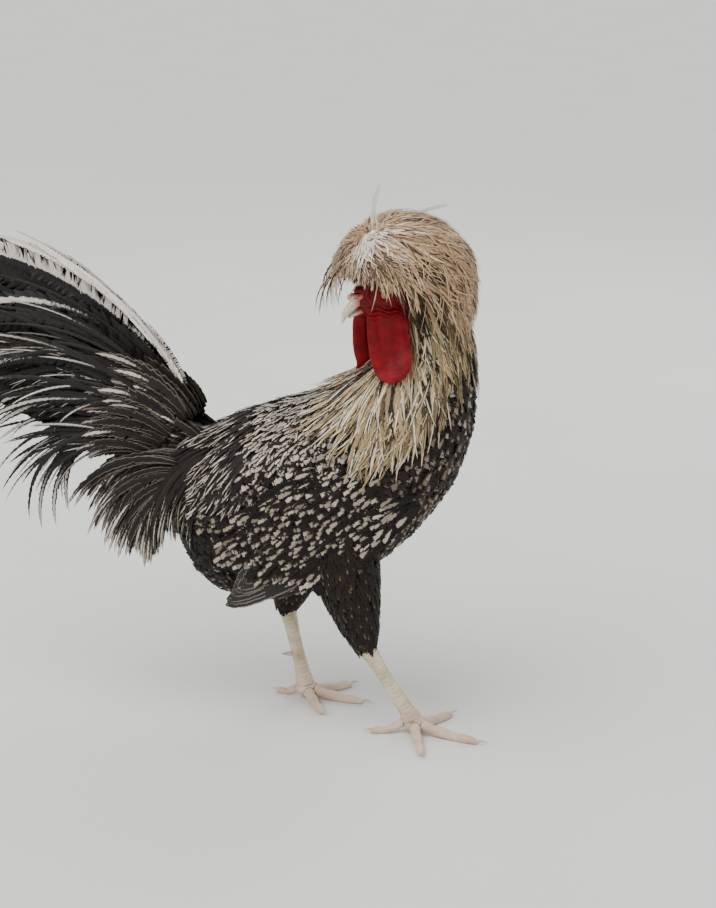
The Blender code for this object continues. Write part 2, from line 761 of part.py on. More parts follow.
def add_tail_feathers(tail, others):
    """Seven pairs of main feathers in a steep fan, and the curved sickles over them."""
    rng = random.Random(3)
    feathers = []

    def add(name, sign, start, curve, width):
        length, rise, fall, out0, out1, count = curve
        normals = [Vector((0, sign, 0.2))] * count

        def shape(share):
            return arc_points(start, length * share, rise, fall, out0, out1, count, sign), normals

        feathers.extend(fitted_feather(name, shape, others, width, DARK_FEATHER, camber=0.08))

    for sign in (1, -1):
        for k in range(7):
            f = k / 6
            root = TAIL_ROOT + Vector((-0.024 - 0.022 * f, sign * (0.002 + 0.006 * f), 0.036 - 0.050 * f))
            length = 0.245 - 0.050 * f + rng.uniform(-0.008, 0.008)
            add("main_tail", sign, root, (length, 60 - 36 * f, 8 + 12 * f, 2 + 3 * f, 1 + 3 * f, 5), 0.0155)
        for k, (length, rise, fall, out) in enumerate(SICKLES):
            root = TAIL_ROOT + Vector((-0.022 - 0.005 * k, sign * out * 0.35, 0.036 - 0.013 * k))
            add("sickle", sign, root, (length, rise, fall, 5 + 2 * k, 3, 7), 0.0115 - 0.001 * k)
    join_pieces(tail, feathers)


def make_coverts(side, sign, *others):
    """The core of the soft feathers that hang over the side of the tail's root."""
    line = arc_points(Vector((-0.108, sign * 0.047, 0.232)), 0.058, -4, -66, 0, 0, 5, sign)
    stations = [(place, 0.015, 0.024 - 0.002 * k, 0.0072) for k, place in enumerate(line)]
    coverts = tube("coverts_" + side, stations, Vector((0, 0, 1)), MOTTLED_FEATHER, sides=10)
    cut_clear(coverts, *others)
    return coverts


def add_covert_feathers(coverts, sign, others):
    rng = random.Random(9)
    feathers = []
    normals = [Vector((0, sign, 0.15))] * 5

    def add(start, length, rise, fall, out):
        def shape(share):
            return arc_points(start, length * share, rise, fall, out, 0, 5, sign), normals

        feathers.extend(fitted_feather("covert", shape, others, 0.0115, MOTTLED_FEATHER, camber=0.08))

    for row, (count, drop, out) in enumerate(((6, 0.0, 0.0), (4, 0.014, 0.0035))):
        for k in range(count):
            f = k / (count - 1)
            root = Vector((-0.130 - 0.010 * f, sign * (0.047 + out), 0.232 - 0.034 * f - 0.3 * drop))
            length = 0.122 - 0.052 * f - 1.4 * drop + rng.uniform(-0.006, 0.006)
            add(root, length, 12 - 76 * f, -64 - 34 * f, 2 * row)
    join_pieces(coverts, feathers)


def blend(a, b, t):
    return a + (b - a) * t


def make_shank(side):
    """The scaly leg from the hock to the ball of the foot, with a short spur behind its inner side."""
    hock, ball = HOCK[side], BALL[side]
    stations = []
    for t, fore, wide in (
        (-0.10, 0.0050, 0.0050),
        (0.02, 0.0095, 0.0078),
        (0.14, 0.0078, 0.0068),
        (0.35, 0.0066, 0.0056),
        (0.60, 0.0064, 0.0054),
        (0.82, 0.0072, 0.0066),
        (0.94, 0.0086, 0.0088),
        (1.03, 0.0080, 0.0086),
    ):
        stations.append((blend(hock, ball, t), fore, fore, wide))
    shank = tube("shank_" + side, stations, Vector((1, 0, 0.2)), SHANK_SKIN, sides=10)
    place = blend(hock, ball, SPUR_SHARE)
    spur = []
    for reach, r in ((0.002, 0.0030), (0.007, 0.0024), (0.0135, 0.0008)):
        spur.append((place + SPUR_WAY[side] * reach, r, r, r))
    join_pieces(shank, [tube("spur", spur, Vector((0, 0, 1)), HORN, sides=6)])
    flatten(shank)
    return shank


def flatten(obj):
    """Presses what lies lowest onto the floor as small flats."""
    for vert in obj.data.vertices:
        vert.co.z = max(vert.co.z, 0.0)


TOES = {
    "right": (("middle", -8, 0.073), ("outer", -66, 0.063), ("inner", 62, 0.058), ("hind", 201, 0.046)),
    "left": (("middle", 0, 0.066), ("outer", 48, 0.058), ("inner", -52, 0.054), ("hind", 176, 0.036)),
}


def cut_flat(obj, place, away):
    """Cuts off what lies beyond a plane and closes the cut."""
    bm = bmesh.new()
    bm.from_mesh(obj.data)
    geometry = bm.verts[:] + bm.edges[:] + bm.faces[:]
    cut = bmesh.ops.bisect_plane(bm, geom=geometry, plane_co=place, plane_no=away, clear_outer=True)
    rim = [item for item in cut["geom_cut"] if isinstance(item, bmesh.types.BMEdge)]
    if rim:
        bmesh.ops.triangulate(bm, faces=bmesh.ops.contextual_create(bm, geom=rim)["faces"])
    bmesh.ops.recalc_face_normals(bm, faces=bm.faces)
    bm.to_mesh(obj.data)
    bm.free()


def make_toe(side, toe, heading, length, shank):
    ball = BALL[side]
    yaw = math.radians(heading)
    way = Vector((math.cos(yaw), math.sin(yaw), 0))
    start = ball + Vector((0, 0, 0.006 if toe == "hind" else -0.002))
    # share of the length, height, radius: two pads and a claw
    profile = (
        (0.00, 0.95, 0.0060),
        (0.14, 0.70, 0.0060),
        (0.38, 0.15, 0.0054),
        (0.54, 0.10, 0.0044),
        (0.70, 0.10, 0.0047),
        (0.82, 0.14, 0.0034),
        (1.00, 0.02, 0.0009),
    )
    slim = 0.82 if toe == "hind" else 1.0
    stations = []
    for t, hang, radius in profile:
        radius *= slim
        rest = radius * 0.86
        height = rest + (start.z - rest) * hang if t < 0.5 else rest + 0.010 * (hang - 0.1)
        place = Vector((start.x, start.y, 0)) + way * length * t + Vector((0, 0, max(height, radius * 0.6)))
        stations.append((place, radius, radius, radius))
    made = tube("toe_" + side + "_" + toe, stations, Vector((0, 0, 1)), SHANK_SKIN, sides=8)
    flatten(made)
    for _, other, _ in TOES[side]:
        apart = (other - heading + 180) % 360 - 180
        if 0 < abs(apart) < 120:
            middle = math.radians(heading + apart / 2)
            away = math.copysign(1, apart) * Vector((-math.sin(middle), math.cos(middle), 0))
            cut_flat(made, ball - away * GAP / 2, away)
    cut_clear(made, shank)


def make_thigh(side, torso, shank):
    hip, hock = HIP[side], HOCK[side]
    stations = []
    for t, fore, wide in (
        (-0.10, 0.033, 0.023),
        (0.15, 0.034, 0.025),
        (0.40, 0.029, 0.0235),
        (0.65, 0.0225, 0.020),
        (0.85, 0.0175, 0.0155),
        (0.99, 0.0135, 0.0125),
    ):
        stations.append((blend(hip, hock, t), fore, fore, wide))
    thigh = tube("thigh_" + side, stations, Vector((1, 0, 0.2)), DARK_FEATHER, sides=14)
    cut_clear(thigh, torso, shank)
    return thigh


def on_body(path):
    """Points and outward directions along a path of (section, turn, height above the surface)."""
    points = [Vector(body_point(s, turn, out)) for s, turn, out in path]
    outer = [Vector(body_point(s, turn, out + 0.01)) for s, turn, out in path]
    return points, [(far - near).normalized() for near, far in zip(points, outer)]


def body_feather(name, others, path, width, finish):
    """A feather along the body's surface, from its root (section, turn) to its tip, with its heights."""
    (s0, turn0), (s1, turn1), heights = path

    def shape(share):
        stations = []
        for t, out in heights:
            stations.append((s0 + (s1 - s0) * t * share, turn0 + (turn1 - turn0) * t * share, out))
        return on_body(stations)

    return fitted_feather(name, shape, others, width, finish)


def add_hackle(neck, others):
    """The long feathers of the neck, in three tiers that fall from under the crest to the shoulders."""
    rng = random.Random(5)
    feathers = []
    # count, section of the roots, section of the tips, height of the tips, half width
    tiers = (
        (12, 6.6, 4.85, 0.0034, 0.0145),
        (10, 7.3, 5.80, 0.0056, 0.0130),
        (7, 8.0, 6.75, 0.0068, 0.0110),
    )
    for tier, (count, start, end, height, width) in enumerate(tiers):
        for k in range(count):
            turn = 2 * math.pi * (k + 0.5 * (tier % 2)) / count
            rise = height + 0.0013 * (k % 2)
            path = (
                (start, turn),
                (end - 0.30 * math.cos(turn) + rng.uniform(-0.10, 0.16), turn + rng.uniform(-0.06, 0.06)),
                ((0, -0.004), (0.3, rise * 0.75), (0.65, rise), (1, rise)),
            )
            feathers += body_feather("hackle", others, path, width * rng.uniform(0.9, 1.1), BUFF_FEATHER)
    join_pieces(neck, feathers)


def add_saddle(torso, others):
    """The feathers of the rump, which part along the back and hang over both sides of the tail's root."""
    rng = random.Random(7)
    feathers = []
    # count a side, section of the roots, section of the tips, height of the tips
    tiers = ((5, 1.95, 0.50, 0.0030), (5, 2.90, 1.55, 0.0052))
    for tier, (count, start, end, height) in enumerate(tiers):
        for sign in (1, -1):
            for k in range(count):
                turn = math.radians(14 + (88 - 14 * tier) * k / (count - 1))
                fall = math.radians(20 + 10 * rng.random())
                rise = height + 0.0012 * (k % 2)
                path = (
                    (start, sign * turn),
                    (end + rng.uniform(-0.08, 0.12), sign * (turn + fall)),
                    ((0, -0.004), (0.35, rise * 0.8), (0.7, rise), (1, rise + 0.003)),
                )
                width = 0.0135 * rng.uniform(0.9, 1.1)
                feathers += body_feather("saddle", others, path, width, MOTTLED_FEATHER)
    join_pieces(torso, feathers)


def centre_on_origin():
    """Moves everything so that the origin lies on the floor under the middle of the bounding box."""
    corners = np.array([vert.co for obj in bpy.data.objects for vert in obj.data.vertices])
    middle = (corners.min(0) + corners.max(0)) / 2
    shift = Vector((-middle[0], -middle[1], 0))
    for obj in bpy.data.objects:
        for vert in obj.data.vertices:
            vert.co += shift
    print("moved by", tuple(round(value, 6) for value in shift))


def main():
    clear_scene()
    sides = (("left", 1), ("right", -1))
    torso = body_loft("torso", 0, NECK_CUT, TRUNK_RINGS, MOTTLED_FEATHER, pole_start=True)
    neck = body_loft("neck", NECK_START, len(BODY_SECTIONS) - 1, NECK_RINGS, BUFF_FEATHER)
    head = make_head()
    eyes = make_eyes()
    beaks = make_beak(head)
    comb = make_comb(head, beaks)
    wattles = [make_wattle(side, sign, head, beaks) for side, sign in sides]
    cut_clear(neck, head, *wattles)
    crest = make_knob(head, neck, comb)
    add_face(head)
    cut_clear(head, *eyes)
    cut_clear(head, neck, crest, *wattles, *beaks, gap=GAP)
    face = [head, comb, crest, *eyes, *wattles, *beaks]
    tail = make_tail(torso)
    wings = [make_wing(side, sign, torso) for side, sign in sides]
    coverts = [make_coverts(side, sign, torso, tail, *wings) for side, sign in sides]
    for side, sign in sides:
        shank = make_shank(side)
        thigh = make_thigh(side, torso, shank)
        cut_clear(thigh, *wings)
        for toe, heading, length in TOES[side]:
            make_toe(side, toe, heading, length, shank)
    thighs = [bpy.data.objects["thigh_" + side] for side, _ in sides]
    add_hackle(neck, solid_trees([torso, *wings, *face]))
    add_saddle(torso, solid_trees([tail, *wings, *coverts, neck]))
    for wing, (_, sign) in zip(wings, sides):
        add_wing_feathers(wing, sign, solid_trees([torso, neck, *thighs, *coverts]))
    add_tail_feathers(tail, solid_trees([torso, *wings, *coverts]))
    for covert, (_, sign) in zip(coverts, sides):
        add_covert_feathers(covert, sign, solid_trees([torso, tail, *wings]))
    add_crest_feathers(crest, solid_trees([neck, *[obj for obj in face if obj is not crest]]))
    centre_on_origin()


main()
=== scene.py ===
"""The looks of a life-size Polish cockerel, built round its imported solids: metres, +Z up, breast to +X."""

import json
import math

import bmesh
import bpy
import numpy as np
from mathutils import Matrix, Vector, noise
from mathutils.kdtree import KDTree

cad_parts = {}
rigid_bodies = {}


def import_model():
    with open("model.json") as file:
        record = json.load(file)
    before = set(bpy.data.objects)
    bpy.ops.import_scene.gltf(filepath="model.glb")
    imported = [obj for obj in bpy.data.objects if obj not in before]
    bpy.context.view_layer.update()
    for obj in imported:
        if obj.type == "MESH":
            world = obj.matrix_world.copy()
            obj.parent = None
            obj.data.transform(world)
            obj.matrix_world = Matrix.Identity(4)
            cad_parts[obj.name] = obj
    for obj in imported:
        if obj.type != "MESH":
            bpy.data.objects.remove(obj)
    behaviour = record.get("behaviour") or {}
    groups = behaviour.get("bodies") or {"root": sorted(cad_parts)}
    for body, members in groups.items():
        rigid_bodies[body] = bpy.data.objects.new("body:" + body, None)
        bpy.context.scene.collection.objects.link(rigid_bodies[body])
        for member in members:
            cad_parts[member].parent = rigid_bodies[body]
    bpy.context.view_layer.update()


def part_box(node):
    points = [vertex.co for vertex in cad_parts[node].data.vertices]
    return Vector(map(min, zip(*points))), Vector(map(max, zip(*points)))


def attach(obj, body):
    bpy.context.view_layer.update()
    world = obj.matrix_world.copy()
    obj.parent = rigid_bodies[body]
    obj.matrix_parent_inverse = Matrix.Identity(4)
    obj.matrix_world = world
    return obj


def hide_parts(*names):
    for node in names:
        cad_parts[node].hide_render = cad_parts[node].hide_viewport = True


for leftover in list(bpy.data.objects):
    bpy.data.objects.remove(leftover, do_unlink=True)
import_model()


# The photograph's view: the bird's right side from a little above, with a long lens, on a pale studio floor.
# The places in this file are those of the solids' source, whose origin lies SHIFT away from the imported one.
def head_place(forward, left, up):
    """A place given from the middle of the skull, in the directions of the turned head."""
    return HEAD_TURN @ Vector((forward, left, up))


HEAD_MIDDLE = Vector((0.059, -0.030, 0.398))
HEAD_YAW, HEAD_PITCH = math.radians(-131), math.radians(10)
HEAD_TURN = Matrix.Translation(HEAD_MIDDLE) @ Matrix.Rotation(HEAD_YAW, 4, "Z")
HEAD_TURN = HEAD_TURN @ Matrix.Rotation(HEAD_PITCH, 4, "Y")
EYE_RADIUS = 0.0062
EYE_PLACE = {"left": (0.004, 0.0125, 0.004), "right": (0.004, -0.0125, 0.004)}
eye_low, eye_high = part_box("eye_right")
SHIFT = (eye_low + eye_high) / 2 - head_place(*EYE_PLACE["right"])
SHIFT.z = 0.0

VIEW_MIDDLE = Vector((0.029, 0.0, 0.247)) + SHIFT
VIEW_AZIMUTH, VIEW_PITCH, VIEW_DISTANCE = math.radians(18), math.radians(16), 1.725
FOCAL_PIXELS, PHOTO_HEIGHT, SENSOR = 1960, 908, 36.0


def placed(name, data):
    """A new object of this data, in the scene."""
    made = bpy.data.objects.new(name, data)
    bpy.context.scene.collection.objects.link(made)
    return made


def aimed(name, data, place, target):
    """A light or camera at a place, looking at its target."""
    made = placed(name, data)
    made.location = place
    made.rotation_euler = (target - place).to_track_quat("-Z", "Y").to_euler()
    return made


lens = bpy.data.cameras.new("photo_view")
lens.sensor_width = SENSOR
lens.lens = FOCAL_PIXELS / PHOTO_HEIGHT * SENSOR
away = Vector((math.sin(VIEW_AZIMUTH), -math.cos(VIEW_AZIMUTH), math.tan(VIEW_PITCH))).normalized()
bpy.context.scene.camera = aimed("photo_view", lens, VIEW_MIDDLE + away * VIEW_DISTANCE, VIEW_MIDDLE)

LIT_MIDDLE = Vector((0, 0, 0.2))
for name, place, size, power in (
    ("window", (-1.1, -1.9, 2.0), 1.6, 24),
    ("fill", (2.2, -1.2, 1.0), 1.8, 8),
    ("rim", (0.3, 2.0, 1.7), 1.2, 14),
):
    light = bpy.data.lights.new(name, "AREA")
    light.size = size
    light.energy = power
    aimed(name, light, Vector(place), LIT_MIDDLE)
sky = bpy.data.lights.new("open_sky", "SUN")
sky.angle = math.radians(50)
sky.energy = 2.0
aimed("open_sky", sky, Vector((-1.0, -1.4, 4.0)), Vector((0, 0, 0)))


def linear(code):
    """A colour as shaders want it, from its sRGB hex value."""
    parts = [int(code[i : i + 2], 16) / 255 for i in (0, 2, 4)]
    return tuple(c / 12.92 if c <= 0.04045 else ((c + 0.055) / 1.055) ** 2.4 for c in parts) + (1.0,)


def plug(node, inputs):
    """Sets inputs, given by name or in their order, or links them to a socket or a node's first output."""
    for key, value in inputs.items() if isinstance(inputs, dict) else enumerate(inputs):
        if isinstance(value, bpy.types.Node):
            value = next(output for output in value.outputs if output.enabled)
        if isinstance(value, bpy.types.NodeSocket):
            node.id_data.links.new(value, node.inputs[key])
        else:
            node.inputs[key].default_value = value
    return node


def add(tree, kind, inputs=(), stops=(), **settings):
    """Adds one node with its settings, its inputs, and the places and colours of its ramp, if it has one."""
    made = tree.nodes.new("ShaderNode" + kind)
    for key, value in settings.items():
        setattr(made, key, value)
    for _ in stops[2:]:
        made.color_ramp.elements.new(0.5)
    for k, (place, code) in enumerate(stops):
        made.color_ramp.elements[k].position = place
        made.color_ramp.elements[k].color = linear(code)
    return plug(made, inputs)


def finish(name, **sockets):
    """A new material, its tree and its one shader, with these sockets set."""
    made = bpy.data.materials.new(name)
    made.use_nodes = True
    shader = made.node_tree.nodes["Principled BSDF"]
    plug(shader, {key.replace("_", " "): value for key, value in sockets.items()})
    return made, made.node_tree, shader


def shaped(name, bm):
    """A new object of a finished bmesh."""
    mesh = bpy.data.meshes.new(name)
    bm.to_mesh(mesh)
    bm.free()
    return placed(name, mesh)


world = bpy.data.worlds.new("studio")
world.use_nodes = True
plug(world.node_tree.nodes["Background"], {"Color": linear("EDEEF0"), "Strength": 0.90})
bpy.context.scene.world = world

# matt pale paper, with a faint grain of 4 mm
paper, tree, shader = finish("studio_paper", Roughness=0.9)
grain = add(tree, "TexNoise", {"Scale": 260.0, "Detail": 3.0})
shade = add(tree, "ValToRGB", (grain,), ((0, "DAD9D5"), (1, "E4E3DF")))
plug(shader, {"Base Color": shade})
bm = bmesh.new()
bmesh.ops.create_circle(bm, cap_ends=True, segments=64, radius=40)
floor = shaped("floor", bm)
floor.data.materials.append(paper)


# Skin: one surface of trunk, neck, thighs, wing arms, skull, face, wattles and the small comb. Under feathers
# it is thin and dark, as they are. Bare skin is scarlet, folded, and smooth and swollen in the wattles. The
# parts are bent from grids, melted together as voxels, and the folds of the face are then raised in it.
BODY_SECTIONS = np.array(
    (
        # centre x, y, z, half height to the back, half height to the belly, half width
        (-0.144, 0.000, 0.222, 0.014, 0.022, 0.016),
        (-0.124, 0.000, 0.221, 0.034, 0.080, 0.042),
        (-0.085, 0.000, 0.220, 0.050, 0.114, 0.060),
        (-0.040, 0.000, 0.228, 0.060, 0.113, 0.069),
        (0.005, 0.000, 0.243, 0.060, 0.101, 0.071),
        (0.045, 0.000, 0.268, 0.056, 0.082, 0.069),
        (0.076, 0.000, 0.305, 0.042, 0.062, 0.054),
        (0.094, 0.002, 0.345, 0.025, 0.036, 0.034),
        (0.094, -0.004, 0.380, 0.021, 0.024, 0.024),
        (0.086, -0.015, 0.404, 0.017, 0.018, 0.018),
    )
)
LAST_SECTION = len(BODY_SECTIONS) - 1.0
COAT_DEPTH, THIGH_COAT_DEPTH = 0.007, 0.006
HIP = {"right": Vector((0.022, -0.036, 0.176)), "left": Vector((-0.030, 0.036, 0.168))}
HOCK = {"right": Vector((0.047, -0.036, 0.083)), "left": Vector((-0.051, 0.031, 0.086))}
LEG_FRONT = Vector((1, 0, 0.2))
# share of the way from hip to hock, half fore and aft, half width
THIGH_PROFILE = ((-0.10, 0.033, 0.023), (0.15, 0.034, 0.025), (0.40, 0.029, 0.0235))
THIGH_PROFILE += ((0.65, 0.0225, 0.020), (0.85, 0.0170, 0.0150), (0.99, 0.0115, 0.0105))
WING_SHOULDER, WING_TIP = np.array((0.076, 0.244)), np.array((-0.100, 0.112))
WING_LENGTH = float(np.hypot(*(WING_SHOULDER - WING_TIP)))
WING_LEAST_SIDE = 0.050
TAIL_ROOT = Vector((-0.118, 0.0, 0.244))
KNOB_MIDDLE = Vector((0.067, -0.024, 0.4245))
SIDES = (("left", 1), ("right", -1))


def unit(vectors):
    """Vectors of length one in the same directions."""
    return vectors / np.maximum(np.linalg.norm(vectors, axis=-1, keepdims=True), 1e-12)


def along_rows(rows, s):
    """Smooth values at position s along the rows, which are one unit apart."""
    s = np.clip(np.asarray(s, float), 0, len(rows) - 1)
    i = np.minimum(s.astype(int), len(rows) - 2)
    t = (s - i)[..., None]
    padded = np.vstack((2 * rows[0] - rows[1], rows, 2 * rows[-1] - rows[-2]))
    a, b, c, d = (padded[i + k] for k in range(4))
    return 0.5 * (2 * b + (c - a) * t + (2 * a - 5 * b + 4 * c - d) * t**2 + (3 * b - a - 3 * c + d) * t**3)


def body_frame(s):
    """The section at s, and its direction towards the back in the x-z plane."""
    s = np.asarray(s, float)
    way = unit((along_rows(BODY_SECTIONS, s + 1e-3) - along_rows(BODY_SECTIONS, s - 1e-3))[..., (0, 2)])
    return along_rows(BODY_SECTIONS, s), np.stack((-way[..., 1], way[..., 0]), axis=-1)


def body_point(s, turn, out=0.0):
    """A point of the trunk or neck: s counts sections, turn is 0 on the back, a quarter turn on the left."""
    row, back = body_frame(s)
    up = np.cos(turn)
    lift = up * (np.where(up > 0, row[..., 3], row[..., 4]) + out)
    side = np.sin(turn) * (row[..., 5] + out)
    x, z = row[..., 0] + back[..., 0] * lift, row[..., 2] + back[..., 1] * lift
    return np.stack((x, row[..., 1] + side, z), -1)


def body_side(x, z):
    """Half width of the trunk beside places in side view, kept above a third near and past the outline."""
    s = np.linspace(0, LAST_SECTION, 160)
    row, back = body_frame(s)
    offset = np.stack((x[..., None] - row[:, 0], z[..., None] - row[:, 2]), axis=-1)
    up = (offset * back).sum(-1)
    reach = np.where(up > 0, row[:, 3], row[:, 4])
    nearest = np.argmin(np.linalg.norm(offset, axis=-1) + (np.abs(up) > reach), axis=-1)
    best = np.take_along_axis(up / reach, nearest[..., None], axis=-1)[..., 0]
    return row[nearest, 5] * np.sqrt(1 - np.clip(np.abs(best), 0, 0.94) ** 2)


def wing_side(x, z):
    """How far out the body lies under the folded wing, whose tip is held away from the narrow vent."""
    sharpness = 250
    return np.log(np.exp(body_side(x, z) * sharpness) + math.exp(WING_LEAST_SIDE * sharpness)) / sharpness


def wing_place(along, across, height, sign):
    """Places along and across the folded wing, height above the body, and the directions outwards there."""
    run = (WING_TIP - WING_SHOULDER) / WING_LENGTH
    x = WING_SHOULDER[0] + run[0] * along + run[1] * across
    z = WING_SHOULDER[1] + run[1] * along - run[0] * across
    step = 0.004
    slope_x = (wing_side(x + step, z) - wing_side(x - step, z)) / (2 * step)
    slope_z = (wing_side(x, z + step) - wing_side(x, z - step)) / (2 * step)
    place = np.stack((x, sign * (wing_side(x, z) + height), z), axis=-1)
    return place, unit(np.stack((-slope_x, np.full_like(x, sign), -slope_z), axis=-1))


def bent_grid(bm, rings):
    """A closed skin through rings of points: a grid is bent round into a tube, its seam and ends merged."""
    first, last = ([sum(ring, Vector()) / len(ring)] * len(ring) for ring in (rings[0], rings[-1]))
    rings = [first, *rings, last]
    sides, rows = len(first), len(rings) - 1
    made = bmesh.ops.create_grid(bm, x_segments=sides, y_segments=rows, size=1)["verts"]
    for vert in made:
        i = round((vert.co.x + 1) / 2 * sides)
        j = round((vert.co.y + 1) / 2 * rows)
        vert.co = rings[j][i % sides]
    bmesh.ops.remove_doubles(bm, verts=made, dist=1e-7)


def oval(centre, along, up, high, low, wide, sides=24):
    """A ring of points round centre, square to along, its top towards up."""
    along = along.normalized()
    side = up.cross(along).normalized()
    top = along.cross(side)
    ring = []
    for k in range(sides):
        turn = 2 * math.pi * k / sides
        lift = math.cos(turn)
        ring.append(centre + top * lift * (high if lift > 0 else low) + side * math.sin(turn) * wide)
    return ring


def run_along(stations, s):
    """Smooth rows of place and half sizes at s along the stations, and their directions."""
    rows = np.array([(*place, *radii) for place, *radii in stations])
    return along_rows(rows, s), along_rows(rows, s + 0.05) - along_rows(rows, s - 0.05)


def hose(bm, stations, up, steps=24, sides=24):
    """A smooth tube through stations of (place, half up, half down, half side), rounded at both ends."""
    fine, ways = run_along(stations, np.linspace(0, len(stations) - 1, steps))
    rings = []
    for row, way in zip(fine, ways):
        rings.append(oval(Vector(row[:3]), Vector(way[:3]), up, *(max(r, 2e-4) for r in row[3:]), sides))
    for end, row, way in ((0, fine[0], -ways[0]), (len(rings), fine[-1], ways[-1])):
        middle = Vector(row[:3])
        tip = middle + Vector(way[:3]).normalized() * row[5] * 0.35
        last = rings[-1 if end else 0]
        rings.insert(end, [middle.lerp(point, 0.62) + (tip - middle) * 0.8 for point in last])
    bent_grid(bm, rings)


def ball(bm, place, radii, turn=None, segments=24):
    """A ball with three radii, turned with the head unless another turn is given."""
    made = bmesh.ops.create_uvsphere(bm, u_segments=segments, v_segments=segments // 2, radius=1)["verts"]
    bmesh.ops.scale(bm, verts=made, vec=radii)
    turn = HEAD_TURN if turn is None else turn
    bmesh.ops.transform(bm, verts=made, matrix=turn @ Matrix.Translation(place))


def apply_all(obj):
    """Gives a piece the mesh that its modifiers make, and takes them off."""
    graph = bpy.context.evaluated_depsgraph_get()
    obj.data = bpy.data.meshes.new_from_object(obj.evaluated_get(graph))
    obj.modifiers.clear()
    return obj


def melted(name, bm, voxel, rounds=2):
    """Melts overlapping closed shapes into one surface of even small faces, smoothed a little."""
    bmesh.ops.recalc_face_normals(bm, faces=bm.faces)
    obj = shaped(name, bm)
    remesh = obj.modifiers.new("melt", "REMESH")
    remesh.mode = "VOXEL"
    remesh.voxel_size = voxel
    relax = obj.modifiers.new("relax", "SMOOTH")
    relax.factor = 0.5
    relax.iterations = rounds
    return apply_all(obj)


def joined(obj, other, operation):
    """Adds another closed shape to a piece, or cuts it out, and removes that other."""
    boolean = obj.modifiers.new("joined", "BOOLEAN")
    boolean.operation = operation
    boolean.solver = "MANIFOLD"
    boolean.object = other
    apply_all(obj)
    bpy.data.objects.remove(other, do_unlink=True)


def rows_of(items, field, size=3, kind=np.float32):
    """A field of many corners or edges as rows of numbers."""
    flat = np.empty(len(items) * size, kind)
    items.foreach_get(field, flat)
    return flat.reshape(-1, size)


def corners_of(mesh):
    return rows_of(mesh.vertices, "co").astype(float)


def move_corners(mesh, places):
    mesh.vertices.foreach_set("co", places.astype(np.float32).ravel())


def in_head(places):
    """Places in the head's own directions: forward, left and up from the middle of the skull."""
    turn = np.array(HEAD_TURN.inverted())
    return places @ turn[:3, :3].T + turn[:3, 3]


def give(mesh, name, values):
    """Stores values on a mesh's corners under a name that the material reads."""
    values = np.asarray(values, np.float32)
    kinds = {1: ("FLOAT", "value"), 3: ("FLOAT_VECTOR", "vector"), 4: ("FLOAT_COLOR", "color")}
    kind, key = kinds[values[0].size]
    mesh.attributes.new(name, kind, "POINT").data.foreach_set(key, values.ravel())


def settle(obj, material):
    """Moves a finished piece by SHIFT, gives it its material, and lets it ride on the body."""
    obj.data.transform(Matrix.Translation(SHIFT))
    obj.data.polygons.foreach_set("use_smooth", [True] * len(obj.data.polygons))
    obj.data.materials.clear()
    obj.data.materials.append(material)
    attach(obj, "root")
    return obj


def body_rings(bm, low, rings, sides, depth):
    """The trunk or neck from section low up to the head, depth inside its outline."""
    turns = np.linspace(0, 2 * np.pi, sides, endpoint=False)
    found = []
    for s in np.linspace(low, LAST_SECTION, rings):
        found.append([Vector(p) for p in body_point(np.full(sides, s), turns, -depth * min(1, s + 0.3))])
    bent_grid(bm, found)


bm = bmesh.new()
body_rings(bm, 0.15, 44, 32, COAT_DEPTH)
for side, sign in SIDES:
    leg = []
    for t, fore, wide in THIGH_PROFILE:
        fore, wide = fore - THIGH_COAT_DEPTH, wide - THIGH_COAT_DEPTH
        leg.append((HIP[side].lerp(HOCK[side], t), fore, fore, wide))
    hose(bm, leg, LEG_FRONT)
    arm = []
    for k in range(9):
        along = (0.03 + 0.60 * k / 8) * WING_LENGTH
        breadth = 0.024 * math.sin(math.pi * (0.12 + 0.80 * k / 8))
        middle = wing_place(np.array([along]), np.array([0.0]), -0.0090 + 0.0007 * k, sign)[0][0]
        arm.append((Vector(middle), breadth, breadth, 0.0045))
    hose(bm, arm, Vector((WING_TIP[1] - WING_SHOULDER[1], 0, WING_SHOULDER[0] - WING_TIP[0])) * -1)
rump = []
for k in range(4):
    thick = 0.024 - 0.004 * k
    place = TAIL_ROOT + Vector((0.02 - 0.022 * k, 0, -0.018 + 0.014 * k))
    rump.append((place, thick, thick, 0.014 - 0.002 * k))
hose(bm, rump, Vector((1, 0, 1)))
skin = melted("skin", bm, 0.0035)

# skull, with its flesh: forward, up, half up, half down, half side
SKULL = (
    (-0.026, 0.002, 0.010, 0.011, 0.009),
    (-0.020, 0.002, 0.016, 0.018, 0.0145),
    (-0.010, 0.002, 0.019, 0.020, 0.0165),
    (0.000, 0.001, 0.0185, 0.019, 0.0160),
    (0.010, -0.001, 0.0155, 0.0165, 0.0130),
    (0.018, -0.003, 0.0115, 0.0125, 0.0098),
    (0.023, -0.004, 0.0085, 0.0090, 0.0072),
)
# wattle: down, forward middle, half breadth fore and aft, half thickness, outward
WATTLE = (
    (0.000, 0.0050, 0.0125, 0.0040, 0.0060),
    (0.012, 0.0036, 0.0196, 0.0050, 0.0105),
    (0.022, 0.0034, 0.0218, 0.0048, 0.0122),
    (0.034, 0.0036, 0.0228, 0.0044, 0.0132),
    (0.043, 0.0038, 0.0230, 0.0042, 0.0136),
    (0.053, 0.0038, 0.0220, 0.0040, 0.0136),
    (0.062, 0.0038, 0.0190, 0.0036, 0.0134),
    (0.0685, 0.0038, 0.0138, 0.0030, 0.0132),
    (0.0725, 0.0038, 0.0064, 0.0018, 0.0130),
    (0.0735, 0.0040, 0.0010, 0.0006, 0.0130),
)
